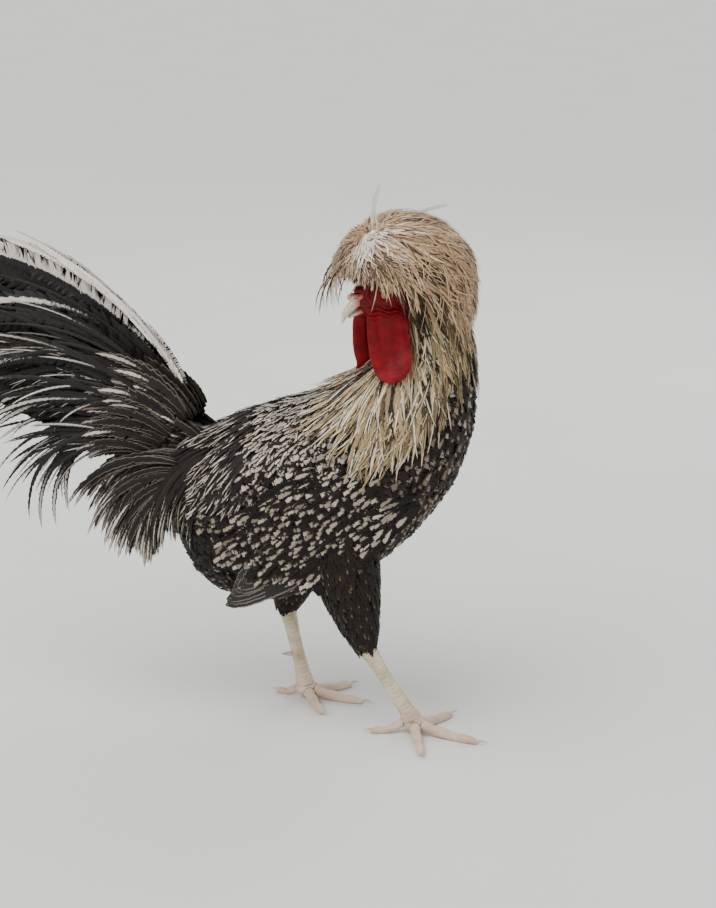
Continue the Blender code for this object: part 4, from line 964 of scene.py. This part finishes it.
def walk_body(s, turn, length, swing, bend, heights, shares, sag=0.0):
    """Lines along the lie of the coat, from the roots towards the tail. Swing turns them down the sides, bend
    curves them, and heights lie above the skin's outline. A line that runs off the rump goes on and sags."""
    line, out = [], []
    nudge = 1e-3
    for k, share in enumerate(shares):
        here = body_point(s, turn)
        along = (body_point(s - nudge, turn) - here) / nudge
        around = (body_point(s, turn + nudge) - here) / nudge
        outward = unit(np.cross(around, along))
        place = here + outward * np.interp(share, *zip(*heights))
        if k:
            step = (length * (share - shares[k - 1]))[:, None]
            off = (s < 0.22)[:, None]
            place = np.where(off, line[-1] + last * step, place)
            outward = np.where(off, out[-1], outward)
            last = unit(place - line[-1] - np.array((0, 0, 1)) * sag * step * off)
        else:
            last = unit(along)
        line.append(place)
        out.append(outward)
        if k + 1 < len(shares):
            step = length * (shares[k + 1] - share)
            way = swing + bend * share
            s = s - step * np.cos(way) / np.linalg.norm(along, axis=-1)
            turn = turn + np.sign(turn) * step * np.sin(way) / np.linalg.norm(around, axis=-1)
    return np.stack(line, 1), np.stack(out, 1)


def smoothed(value, low, high):
    """A smooth step from 0 at low to 1 at high."""
    t = np.clip((value - low) / (high - low), 0, 1)
    return t * t * (3 - 2 * t)


rng = np.random.default_rng(41)
s, turn = roots_on_body(0.28, 7.4, 0.0062, rng)
keep = (s < 6.7) | (np.abs(turn) > 1.7)
s, turn = s[keep], turn[keep]
x, _, z = body_point(s, turn).T
count = len(s)
back = smoothed(1.45 - np.abs(turn), 0.0, 0.6) * smoothed(s, 0.4, 1.2)
breast = smoothed(s, 4.2, 5.4) * smoothed(np.abs(turn), 1.2, 2.0)
flank = np.exp(-(((x - 0.005) / 0.13) ** 2) - ((z - 0.255) / 0.062) ** 2) * (1 - back) * (1 - breast)
length = (0.0250 + 0.006 * back + 0.002 * breast + 0.005 * (s < 1.3)) * rng.uniform(0.86, 1.14, count)
broad = (rng.random(count) < 0.42) * (1 - back)
width = (0.0044 - 0.0014 * back + 0.0008 * breast + 0.0020 * broad) * rng.uniform(0.84, 1.16, count)
swing = 0.30 * np.sin(np.abs(turn)) * (s < 4.2) + 0.42 * back + rng.normal(0, 0.17, count)
bend = rng.normal(0, 0.3, count)
line, out = walk_body(s, turn, length, swing, bend, ((0, -0.0065), (0.4, -0.001), (1, 0.0016)), COVERED)
line += out * (rng.uniform(-0.0006, 0.0012, count) + 0.0008 * broad)[:, None, None] * COVERED[None, :, None]
shoulder = smoothed(s, 3.0, 4.0) * smoothed(5.6 - s, 0, 0.6) * (1 - breast)
marked = rng.random(count) < 0.26 + 0.66 * np.maximum(np.maximum(flank, back), shoulder) + 0.44 * breast
tip = rng.uniform(0.14, 0.32, count) + 0.07 * broad + rng.uniform(0.0, 0.24, count) * back
tip = np.where(marked, tip, 0.0)
pale = 0.08 + 0.44 * np.maximum(flank, 0.7 * shoulder * (1 - back)) + 0.52 * back
# those that run in under the wing show only their middles, so their marks are longer
under_wing = np.exp(-(((x - 0.052) / 0.030) ** 2) - ((z - 0.268) / 0.026) ** 2) > 0.5
tip = np.where(under_wing & (rng.random(count) < 0.7), rng.uniform(0.40, 0.62, count), tip)
paint = painted(rng, tip, 0.22 + 0.30 * breast, pale)
contour = feather_finish("spangled_contour_feather", "0C0907", "2B2017", "6E6152", "CDC1AF")
spot = spread(s, turn)
for name, part in (("coat_front", s > 4.6), ("coat_middle", (s > 2.5) & (s <= 4.6)), ("coat_rear", s <= 2.5)):
    sheaf(
        name, (line[part], out[part]), COVERED, width[part], ROUND_TIP, paint[part], spot[part], contour,
        fray=0.26, slant=0.7, seed=51, split=0.12, loose=0.12,
    )


# Thighs: short, dense, dark brown feathers, like the breast's but darker, some with a faint paler tip. They
# lie down over each other in rings round the leg and close round the hock.
def thigh_point(side, t, turn, out):
    """A place on the thigh: t runs from the hip to the hock, turn goes round it."""
    rows = np.array((*THIGH_PROFILE, (1.10, 0.0072, 0.0068)))
    fore, wide = (np.interp(t, rows[:, 0], rows[:, k]) + out for k in (1, 2))
    axis = np.array(HOCK[side] - HIP[side])
    middle = np.array(HIP[side]) + axis * t[:, None]
    axis = unit(axis)
    across = unit(np.cross(unit(np.array((1.0, 0, 0.2))), axis))
    front = np.cross(axis, across)
    return middle + front * (np.cos(turn) * fore)[:, None] + across * (np.sin(turn) * wide)[:, None]


thigh_coat = feather_finish("thigh_feather", "0E0A08", "2B2016", "5E4F3F", "8B7A66")
for side, sign in SIDES:
    rng = np.random.default_rng(61 + sign)
    t, turn = [], []
    for share in np.arange(-0.12, 0.93, 0.042):
        around = int(34 - 18 * max(share, 0))
        t += [share] * around
        turn += list((np.arange(around) + rng.uniform(0, 1)) / around * 2 * np.pi)
    t, turn = np.array(t) + rng.normal(0, 0.016, len(t)), np.array(turn) + rng.normal(0, 0.07, len(t))
    count = len(t)
    reach = rng.uniform(0.20, 0.29, count) * np.where(t > 0.8, 0.75, 1)
    drift = rng.normal(0, 0.12, count)
    line, out = [], []
    for share in COVERED:
        height = np.interp(share, (0, 0.45, 1), (-0.006, -0.001, 0.0012))
        line.append(thigh_point(side, t + reach * share, turn + drift * share, height))
        out.append(unit(thigh_point(side, t + reach * share, turn + drift * share, height + 0.01) - line[-1]))
    tip = some_tips(rng, 0.30, 0.08, 0.22, count)
    width = rng.uniform(0.0032, 0.0046, count)
    sheaf(
        "thigh_feathers_" + side, (np.stack(line, 1), np.stack(out, 1)), COVERED, width, LANCE_TIP,
        painted(rng, tip, 0.45, 0.2), spread(t, turn), thigh_coat,
        fray=0.35, slant=0.8, seed=62, loose=0.12,
    )


# Wings: folded against the sides and drooping backwards. Tiers of spangled coverts lie over the arm, and the
# long stiff secondaries and primaries slide out from under them, smooth, dark grey-brown with thin pale
# edges.
FLIGHT_TIP = ((0, 0.30), (0.15, 0.80), (0.4, 1.0), (0.85, 0.92), (0.95, 0.62), (1, 0.12))
flight_coat = feather_finish(
    "flight_feather", "191716", "3A3533", "8A827A", "CFC6BC", edge="7A7169", roughness=0.45, gloss=0.08
)


def on_wing(shares, sign, place_of):
    """Lines and outward ways over the folded wing, from their place along, across and above it."""
    found = [wing_place(*place_of(share), sign) for share in shares]
    return np.stack([place for place, _ in found], 1), np.stack([way for _, way in found], 1)


def covert_at(share):
    """Coverts rise from the arm over each other. The foremost lie sunk among the feathers of the shoulder."""
    height = np.interp(share, (0, 0.4, 1), (0.002, 0.0080, 0.0115))
    height = height * (1 - 0.45 * (np.abs(across) / 0.047) ** 3)
    height -= (1 - risen) * np.interp(share, (0, 0.4, 1), (0.008, 0.0080, 0.0085))
    return along + reach * share, across + drift * share, height


def flight_at(share):
    """Flight feathers bend on their way to the tip, and come up from under the coverts."""
    bent = low * (1 - share) ** 2 + 2 * middle * share * (1 - share) + high * share**2
    sunk = 0.001 + (height - 0.001) * smoothed(share, 0.15, 0.75)
    return (start + (stop - start) * share) * WING_LENGTH, bent, sunk


for side, sign in SIDES:
    rng = np.random.default_rng(71 + sign)
    along, across, rim = [], [], []
    for row in range(28):
        breadth = 0.043 * math.sin(math.pi * (0.20 + 0.62 * row / 27)) ** 0.6
        number = int(2 * breadth / 0.0058)
        across += list(np.linspace(-breadth, breadth, number) + (0.003 if row % 2 else 0.0))
        along += [(-0.02 + 0.0262 * row) * WING_LENGTH] * number
        rim += list(np.abs(np.linspace(-1, 1, number)) + (row < 3))
    along, across, rim = np.array(along), np.array(across), np.array(rim)
    covered = along < (0.62 + 3.4 * across) * WING_LENGTH
    along, across, rim = along[covered], across[covered], rim[covered]
    count = len(along)
    along += rng.normal(0, 0.0024, count)
    across += rng.normal(0, 0.0020, count)
    reach = 0.025 + 0.007 * along / WING_LENGTH + rng.normal(0, 0.0026, count)
    drift = rng.normal(0, 0.0038, count)
    risen = np.clip((along / WING_LENGTH + 0.02) / 0.45, 0, 1)
    tip = some_tips(rng, 0.86, 0.14, 0.38, count)
    # round the rim of the tract few feathers lie over their middles, so their marks are longer
    tip += 0.26 * (tip > 0) * (rim > 0.70)
    paint = painted(rng, tip, 0.25, 0.52 - 0.30 * along / WING_LENGTH)
    width = rng.uniform(0.0038, 0.0062, count)
    wing = sheaf(
        "wing_coverts_" + side, on_wing(COVERED, sign, covert_at), COVERED, width, ROUND_TIP, paint,
        spread(along, across), contour,
        fray=0.26, slant=0.7, seed=72, split=0.12, loose=0.08,
    )
    # where along the wing each starts and stops, three places across it, height, half width
    rows = []
    for k in range(8):
        drop = -0.034 + 0.0048 * k
        stop = 0.93 - 0.018 * k + rng.uniform(-0.008, 0.008)
        rows.append((0.42, stop, drop * 0.8, drop * 0.9, drop * 0.40, 0.0016 + 0.0007 * k, 0.0074))
    for k in range(8):
        rise = -0.014 + 0.0036 * k
        stop = 0.84 - 0.026 * k + rng.uniform(-0.01, 0.01)
        rows.append((0.34, stop, rise * 0.9, rise, rise * 0.6, 0.0066 + 0.0005 * k, 0.0086))
    start, stop, low, middle, high, height, width = np.array(rows).T
    shares = np.linspace(0, 1, 90)
    sheaf(
        "flight_feathers_" + side, on_wing(shares, sign, flight_at), shares, width, FLIGHT_TIP,
        painted(rng, np.zeros(len(rows)), 0.5, 0.5, (0, 0.5)), spread(start + 0.02 * np.arange(16), low),
        flight_coat,
        fray=0.0, slant=0.0, seed=73, split=0.015, cup=0.10, thick=0.0011, loose=0.0,
    )
    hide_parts("wing_" + side)


# Tail: a fan of broad, stiff black feathers, overhung by the curved sickles and by loose strands, whose barbs
# fall apart towards the ends. The topmost pair is edged and tipped with white.
def turning(first, last, shares):
    """Angles of the stretches between shares, on the way from first to last, which are in degrees."""
    return np.radians(first[:, None] + (last - first)[:, None] * ((shares[1:] + shares[:-1]) / 2))


def curved(start, way, length, shares):
    """Lines that leave their start and follow the ways of their stretches."""
    steps = way * (length[:, None] * np.diff(shares))[..., None]
    return np.concatenate((start[:, None], start[:, None] + np.cumsum(steps, axis=1)), axis=1)


def arcs(rows, shares):
    """Lines and outward ways of feathers that leave their start at one rise and end at another, in degrees.
    A row is start x, y, z, length, both rises, how far they splay at both ends, and the side."""
    start, length, rise0, rise1, out0, out1, sign = rows[:, :3], *rows[:, 3:9].T
    rise, aside = turning(rise0, rise1, shares), turning(out0, out1, shares)
    flat = np.cos(aside)
    way = np.stack((-np.cos(rise) * flat, sign[:, None] * np.sin(aside), np.sin(rise) * flat), -1)
    line = curved(start, way, length, shares)
    outward = np.stack((sign * 0, sign, np.full_like(sign, 0.25)), -1)
    return line, np.broadcast_to(outward[:, None], line.shape)


SICKLE_TIP = ((0, 0.35), (0.1, 0.8), (0.35, 1.0), (0.7, 0.82), (0.9, 0.45), (1, 0.05))
# the topmost broad feather: its start along and above the tail's root, its length, its rise in degrees at
# root and tip, and how far its upper edge is from its shaft
TOP_BACK, TOP_UP, TOP_LENGTH, TOP_RISE, TOP_END, TOP_EDGE = -0.022, 0.036, 0.248, 60, 8, 0.0135
# sickles: length, rise at root and tip, gap to the other side
SICKLES = ((0.310, 62, -52, 0.010), (0.255, 53, -44, 0.017), (0.195, 42, -40, 0.020))
SICKLES += ((0.188, 30, -100, 0.024),)
FRINGE = 26
tail_coat = feather_finish("tail_feather", "0A0807", "2B211B", "83766B", "E6DED4", roughness=0.45, gloss=0.12)
root = np.array(TAIL_ROOT)
rng = np.random.default_rng(81)
rows = []
for sign in (1, -1):
    for k in range(9):
        f = k / 8
        start = root + (TOP_BACK - 0.024 * f, sign * (0.002 + 0.007 * f), TOP_UP - 0.050 * f)
        size = TOP_LENGTH - 0.050 * f + rng.uniform(-0.008, 0.008)
        rows.append((*start, size, TOP_RISE - 36 * f, TOP_END + 12 * f, 2 + 4 * f, 1 + 4 * f, sign))
rows = np.array(rows)
shares = np.linspace(0, 1, 150)
count = len(rows)
top_pair = (np.arange(count) % 9 == 0).astype(float)
main_tail = sheaf(
    "tail_main", arcs(rows, shares), shares, np.full(count, 0.0160), FLIGHT_TIP,
    painted(rng, 0.78 * top_pair, 0.2, 0.2 + 0.6 * top_pair, (0, 0.4)), spread(np.arange(count), rows[:, 2]),
    tail_coat,
    fray=0.07, slant=0.8, seed=82, split=0.04, cup=0.10, thick=0.0013, loose=0.015, lean=0.6 * rows[:, 8],
)
rows, width = [], []
for sign in (1, -1):
    # a loose white fringe springs from the upper edge of the topmost broad feather, whose shaft is an arc of
    # this radius; 0.5 is the cosine of its first rise
    radius = TOP_LENGTH / math.radians(TOP_RISE - TOP_END)
    for k in range(FRINGE):
        share = 0.04 + 0.50 * k / (FRINGE - 1)
        rise = TOP_RISE - (TOP_RISE - TOP_END) * share
        turned = math.radians(rise)
        edge_x, edge_z = TOP_EDGE * math.sin(turned), TOP_EDGE * math.cos(turned)
        start = root + (
            TOP_BACK - radius * (math.sin(math.radians(TOP_RISE)) - math.sin(turned)) + edge_x,
            sign * rng.uniform(0.001, 0.005),
            TOP_UP + radius * (math.cos(turned) - 0.5) + edge_z,
        )
        size = TOP_LENGTH * rng.uniform(0.16, 0.42)
        rises = rise + rng.uniform(2, 8), rise - 210 * size + rng.uniform(-6, 8)
        rows.append((*start, size, *rises, 2, rng.uniform(-3, 4), sign))
        width.append(rng.uniform(0.0014, 0.0030))
    for k, (size, rise, fall, gap) in enumerate(SICKLES):
        for twin in range(3):
            aside = sign * (gap * 0.35 + 0.003 * twin)
            start = root + (-0.020 - 0.005 * k - 0.004 * twin, aside, 0.037 - 0.013 * k)
            now = size * rng.uniform(0.86, 1.0), rise + rng.uniform(-4, 3), fall + rng.uniform(-6, 10)
            rows.append((*start, *now, 5 + 2 * k + 2 * twin, 3, sign))
            width.append(0.0100 - 0.0018 * k - 0.0008 * twin)
    for _ in range(120):
        f = rng.random() ** 1.3
        start = root + (-0.018 - 0.028 * f, sign * rng.uniform(0.003, 0.022), 0.038 - 0.050 * f)
        size = rng.uniform(0.10, 0.235) * (1 - 0.25 * f)
        rise = 55 - 36 * f + rng.uniform(-5, 3)
        splay = rise - rng.uniform(35, 90), rng.uniform(2, 14), rng.uniform(-4, 6)
        rows.append((*start, size, rise, *splay, sign))
        width.append(rng.uniform(0.0012, 0.0032))
rows = np.array(rows)
shares = np.linspace(0, 1, 60)
count = len(rows)
white = (np.arange(count) % (count // 2) < FRINGE).astype(float)
tip = some_tips(rng, 0.6, 0.1, 0.7, count)
sheaf(
    "tail_sickles", arcs(rows, shares), shares, np.array(width), SICKLE_TIP,
    painted(rng, np.maximum(tip, white), 0.3, 0.5 + 0.4 * white), spread(np.arange(count), rows[:, 2]),
    tail_coat, fray=0.30, slant=1.2, seed=83, split=0.08, cup=0.10, thick=0.0008, loose=0.06,
)
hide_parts("tail")


# Tail coverts: curved, spangled feathers that clothe the root of the tail and hang beside it in a ragged
# fringe. They are softer and more open than the tail's own, with thin paler edges.
covert_coat = feather_finish(
    "tail_covert_feather", "0C0908", "30251D", "83766B", "DED5C8", edge="6A6056", gloss=0.08
)
rng = np.random.default_rng(91)
rows, width = [], []
for sign in (1, -1):
    for _ in range(150):
        f = rng.random()
        aside = sign * rng.uniform(0.001, 0.026)
        start = root + (-0.004 - 0.036 * f, aside, 0.030 - 0.042 * f + rng.uniform(-0.004, 0.006))
        rise = 62 - 38 * f
        size = rng.uniform(0.045, 0.105) * (1 - 0.2 * f)
        rows.append((*start, size, rise, rise - 58, rng.uniform(2, 16), rng.uniform(-6, 6), sign))
        width.append(rng.uniform(0.0036, 0.0062))
    for _ in range(46):
        start = rng.uniform(-0.128, -0.108), sign * rng.uniform(0.000, 0.022), rng.uniform(0.242, 0.260)
        size, rises = rng.uniform(0.040, 0.065), (rng.uniform(10, 40), rng.uniform(-10, 35))
        rows.append((*start, size, *rises, rng.uniform(0, 18), 0, sign))
        width.append(rng.uniform(0.0045, 0.0060))
    for _ in range(210):
        f = rng.random()
        gap = rng.uniform(0.014, 0.050)
        start = -0.122 - 0.016 * f, sign * gap, 0.238 - 0.038 * f + 0.25 * (0.05 - gap)
        size = (0.124 - 0.056 * f) * rng.uniform(0.62, 1.04)
        rows.append((*start, size, 14 - 76 * f, -62 - 30 * f, rng.uniform(0, 6), rng.uniform(-5, 2), sign))
        width.append(rng.uniform(0.0024, 0.0048))
rows = np.array(rows)
shares = np.linspace(0, 1, 26)
count = len(rows)
tip = some_tips(rng, 0.86, 0.16, 0.50, count)
tail_coverts = sheaf(
    "tail_coverts", arcs(rows, shares), shares, np.array(width), LANCE_TIP, painted(rng, tip, 0.25, 0.5),
    spread(rows[:, 0], rows[:, 1]), covert_coat, fray=0.32, slant=1.0, seed=92,
)
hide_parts("coverts_left", "coverts_right")


# Saddle: long pointed feathers that part along the rump and fall down both sides over wing tips and tail
# root. They are narrow and glossier than the back's, and the hindmost hang freely.
rng = np.random.default_rng(101)
s, turn = roots_on_body(0.45, 3.1, 0.0054, rng)
keep = (np.abs(turn) < 1.40) & (np.abs(turn) > 0.02)
s, turn = s[keep], turn[keep]
hanging = (s < 1.7) & (np.abs(turn) > 0.6)
count = len(s)
length = (0.070 - 0.010 * (s - 0.5) + 0.016 * hanging) * rng.uniform(0.80, 1.12, count)
swing = 0.35 + 0.45 * np.clip(np.abs(turn), 0, 1) + 0.45 * hanging + rng.normal(0, 0.08, count)
bend = rng.normal(0, 0.2, count)
heights = ((0, -0.004), (0.3, 0.0010), (0.7, 0.0032), (1, 0.0045))
line, out = walk_body(s, turn, length, swing, bend, heights, OPEN, sag=9.0)
line += out * rng.uniform(-0.0012, 0.0012, count)[:, None, None]
rows = []
for sign in (1, -1):
    for _ in range(90):
        f = rng.random()
        aside = sign * (0.047 - 0.014 * f + rng.uniform(0, 0.004))
        start = -0.086 - 0.040 * f, aside, 0.252 - 0.008 * f + rng.uniform(-0.010, 0.006)
        fall = rng.uniform(0.070, 0.112), rng.uniform(-38, -20), rng.uniform(-96, -78), rng.uniform(2, 12)
        rows.append((*start, *fall, -3, sign))
free_line, free_out = arcs(np.array(rows), OPEN)
line, out = np.concatenate((line, free_line)), np.concatenate((out, free_out))
s, turn = np.append(s, rng.uniform(0.4, 1.6, len(rows))), np.append(turn, [1.2 * row[-1] for row in rows])
count = len(s)
tip = some_tips(rng, 0.86, 0.18, 0.46, count)
width = rng.uniform(0.0016, 0.0032, count)
saddle_coat = feather_finish("saddle_feather", "110C0B", "33281F", "7F7265", "DDD4C6", gloss=0.06)
sheaf(
    "saddle", (line, out), OPEN, width, LANCE_TIP, painted(rng, tip, 0.25, 0.55), spread(s, turn),
    saddle_coat, fray=0.32, slant=0.9, seed=102, cup=0.14,
)


# Hackle: the cape of the neck. Narrow lance-shaped feathers, cream and gold with dark middles, loose at their
# edges, fall from under the crest and spread over the shoulders; towards the breast they are short and dark.
rng = np.random.default_rng(111)
s, turn = roots_on_body(5.9, 8.95, 0.0038, rng)
side_on = np.abs(turn)
toward_breast = smoothed(side_on, 1.65, 2.4)
keep = s > 6.05 + 0.35 * smoothed(0.8 - side_on, 0, 0.6) + 1.2 * toward_breast + rng.normal(0, 0.10, len(s))
s, turn, side_on, toward_breast = s[keep], turn[keep], side_on[keep], toward_breast[keep]
count = len(s)
high = smoothed(s, 6.9, 7.9)
over_wing = smoothed(side_on, 0.4, 0.9) * smoothed(1.9 - side_on, 0, 0.4)
length = (0.072 + 0.002 * over_wing - 0.024 * toward_breast - 0.012 * high) * rng.uniform(0.72, 1.1, count)
swing = 0.10 * np.sin(side_on) + rng.normal(0, 0.09, count)
bend = 0.42 * over_wing + rng.normal(0, 0.22, count)
heights = ((0, -0.004), (0.25, 0.0016), (0.6, 0.0038), (1, 0.0052))
line, out = walk_body(s, turn, length, swing, bend, heights, OPEN)
line += out * rng.uniform(-0.0014, 0.0014, count)[:, None, None]
tip = some_tips(rng, 0.60 - 0.40 * toward_breast, 0.15, 0.62, count)
warm = np.where(rng.random(count) < 0.42 + 0.44 * toward_breast * (1 - 0.6 * high), 0.08, 0.85)
warm = np.where(rng.random(count) < 0.40 * smoothed(side_on, 1.2, 1.9), 0.45, warm)
pale = 0.76 + 0.10 * over_wing - 0.45 * toward_breast - 0.30 * high
width = rng.uniform(0.0014, 0.0027, count)
hackle_coat = feather_finish(
    "hackle_feather", "1E130B", "B39A70", "B8A27C", "E9DFCA", sheen=0.06, roughness=0.5
)
sheaf(
    "hackle", (line, out), OPEN, width, LANCE_TIP, painted(rng, tip, warm, pale), spread(s, turn),
    hackle_coat, fray=0.35, slant=1.0, seed=112, cup=0.14,
)


# Crest: a mop of long narrow feathers on the knob of the skull. They part from a whorl over the brow, sweep
# back over the dome and hang round it as a fringe: white at the whorl, buff behind, dark-streaked and tousled
# over the eyes.
CREST_MIDDLE = np.array((0.0755, -0.0212, 0.408))
CREST_REACH, CREST_HEIGHT = 0.0640, 0.0590
# how far down the fringe hangs, in degrees from the top, at so many degrees round from the beak
CREST_RIM = ((0, 84), (20, 80), (45, 84), (65, 88), (85, 101), (114, 119), (180, 130))
WHORL = math.radians(38)
WISP_TIP = ((0, 0.30), (0.25, 0.75), (0.6, 1.0), (0.85, 0.62), (1, 0.05))


def crest_point(polar, turn, scale):
    """A place on the bell of the crest: polar down from its top, turn round from the beak's direction."""
    over = np.maximum(0.0, polar - np.pi / 2)
    reach = CREST_REACH * (np.sin(np.minimum(polar, np.pi / 2)) - 0.22 * over**2)
    reach = reach * (1 - 0.09 * np.clip(np.cos(turn), 0, 1) ** 2)
    height = CREST_HEIGHT * np.where(over == 0, np.cos(polar), -over)
    yaw = HEAD_YAW + turn
    return CREST_MIDDLE + scale[..., None] * np.stack((np.cos(yaw) * reach, np.sin(yaw) * reach, height), -1)


def from_whorl(away, around):
    """Polar angle and turn on the bell of a place so far away from the whorl, in a direction round it."""
    x = np.cos(away) * math.sin(WHORL) + np.sin(away) * np.cos(around) * math.cos(WHORL)
    y = np.sin(away) * np.sin(around)
    z = np.cos(away) * math.cos(WHORL) - np.sin(away) * np.cos(around) * math.sin(WHORL)
    return np.arccos(np.clip(z, -1, 1)), np.arctan2(y, x)


def crest_tufts(name, number, arc, spans, depths, widths, seed, wild=0.0):
    """Feathers that end all over the crest, each following the flow from the whorl for its arc in degrees."""
    rng = np.random.default_rng(seed)
    around = rng.uniform(-np.pi, np.pi, number)
    fine = np.radians(np.arange(20, 181))
    polar, turn = from_whorl(fine[None, :], around[:, None])
    rim = np.radians(np.interp(np.abs(np.degrees(turn)), *zip(*CREST_RIM)))
    limit = fine[np.argmax(polar > rim * 0.995, axis=1)]
    low, high = spans
    picked = np.arccos(1 - rng.random(number) * (1 - np.cos(limit)))
    stop = np.clip(picked, np.radians(low), None) * rng.uniform(0.96, high, number)
    edge_on = rng.random(number) < 0.24
    stop = np.where(edge_on, limit * rng.uniform(0.90, high, number), stop)
    start = stop - np.radians(arc) * rng.uniform(0.8, 1.15, number)
    start = np.maximum(start, np.radians(rng.uniform(0.5, 9, number)))
    locks = np.sin(5 * around + 3 * stop + 1.0) + np.sin(9 * around - 4 * stop)
    bend = 0.10 * locks + rng.normal(0, 0.07 + wild, number)
    curl = rng.normal(0, 0.08 + wild, number)
    rise = rng.uniform(-0.025, 0.015 + 0.05 * wild, number)
    shallow = smoothed(np.radians(22) - start, 0, 0.2) * (0.93 - depths[0])
    line = []
    for share in OPEN:
        way = around + bend * share + curl * share**2
        polar, turn = from_whorl(start + (stop - start) * share, way)
        scale = np.interp(share, (0, 0.25, 0.5, 1), depths) + rise * share + shallow * max(0, 1 - 3 * share)
        line.append(crest_point(polar, turn, scale))
    line = np.stack(line, 1)
    out = unit(line - CREST_MIDDLE + np.array((0, 0, 0.006)))
    polar, turn = from_whorl((start + 2 * stop) / 3, around)
    # white over the whorl and beside it, some pale feathers up to the crown, and dark ones over the eyes
    white = 0.92 * smoothed(np.radians(48) - stop, 0, 0.20) * smoothed(np.cos(around - 0.70), 0.88, 0.98)
    beside = 0.88 * smoothed(np.radians(40) - stop, 0, 0.22) * smoothed(np.cos(around - 1.15), 0.50, 0.90)
    crown = 0.55 * smoothed(np.radians(66) - stop, 0, 0.60) * smoothed(np.cos(around - 1.9), 0.30, 0.90)
    white = np.maximum(white, beside)
    tousled = smoothed(polar, 0.90, 1.15) * smoothed(np.cos(turn - 0.5), 0.1, 0.7)
    tip = some_tips(rng, 0.22 + 0.25 * tousled, 0.3, 0.8, number)
    tip = np.where(np.maximum(white, crown) > rng.random(number), 1.0, tip)
    warm = np.where(rng.random(number) < 0.13 + 0.50 * tousled, 0.08, 0.82)
    paint = painted(rng, tip, warm, 0.22 + 0.45 * crown + 0.70 * white, (0.0, 0.72))
    # where a streak is drawn, it takes the place of the feather's own tone
    streaks = some_tips(rng, 0.10 + 0.35 * tousled, 0.7, 1.0, number)
    paint[:, 2] = np.where(streaks > 0, streaks, paint[:, 2])
    width = rng.uniform(*widths, number)
    return sheaf(
        name, (line, out), OPEN, width, WISP_TIP, paint, spread(turn, polar), crest_coat,
        fray=0.30, slant=1.4, seed=seed + 1, split=0.08, cup=0.10, thick=0.0005,
    )


crest_coat = feather_finish(
    "crest_feather", "35241A", "C4A078", "CBAE88", "F0E8DB", sheen=0.08, roughness=0.5
)
crest = crest_tufts("crest_deep", 460, 70, (40, 1.0), (0.42, 0.72, 0.86, 0.93), (0.0030, 0.0044), 121)
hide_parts("crest")
crest_tufts("crest_under", 300, 60, (52, 1.0), (0.36, 0.56, 0.68, 0.78), (0.0022, 0.0036), 127, wild=0.06)
crest_tufts("crest_dome", 2000, 56, (16, 1.03), (0.58, 0.90, 0.965, 1.0), (0.0011, 0.0024), 123, wild=0.04)
crest_tufts("crest_wisps", 1300, 46, (24, 1.12), (0.70, 0.93, 0.985, 1.035), (0.0004, 0.0010), 125, wild=0.14)


# Stray feathers: a cream one that stands up from the whorl, one lifted off the crown, and curved wisps that
# hang forward over the beak. They are loose feathers of the crest, thin and open.
rng = np.random.default_rng(131)
rows = [
    # turn from the beak, polar, length, rise at the root and at the tip, half width, warmth, pale tip
    (0.05, 0.60, 0.040, 84, 118, 0.0030, 0.9, 1.0),
    (0.30, 0.66, 0.024, 100, 60, 0.0014, 0.9, 1.0),
    (2.60, 0.10, 0.034, 26, 8, 0.0019, 0.9, 1.0),
]
for _ in range(26):
    dark = rng.random() < 0.5
    place = rng.uniform(-1.1, 0.1), rng.uniform(1.10, 1.35)
    hang = rng.uniform(0.022, 0.052), rng.uniform(-55, -10), rng.uniform(-125, -85)
    rows.append((*place, *hang, rng.uniform(0.0004, 0.0008), *((0.05, 0.0) if dark else (0.9, 0.8))))
turn, polar, length, rise0, rise1, width, warm, tip = np.array(rows).T
place = crest_point(polar, turn, np.full(len(rows), 0.93))
yaw = HEAD_YAW + turn
rise = turning(rise0, rise1, OPEN)
way = np.stack((np.cos(yaw)[:, None] * np.cos(rise), np.sin(yaw)[:, None] * np.cos(rise), np.sin(rise)), -1)
line = curved(place, way, length, OPEN)
out = np.broadcast_to(np.stack((-np.sin(yaw), np.cos(yaw), yaw * 0), -1)[:, None], line.shape)
sheaf(
    "crest_strays", (line, out), OPEN, width, WISP_TIP, painted(rng, tip, warm, tip, (0, 0.5)),
    spread(turn, polar), crest_coat,
    fray=0.30, slant=1.4, seed=132, split=0.08, cup=0.05, thick=0.0004, loose=0.05,
)
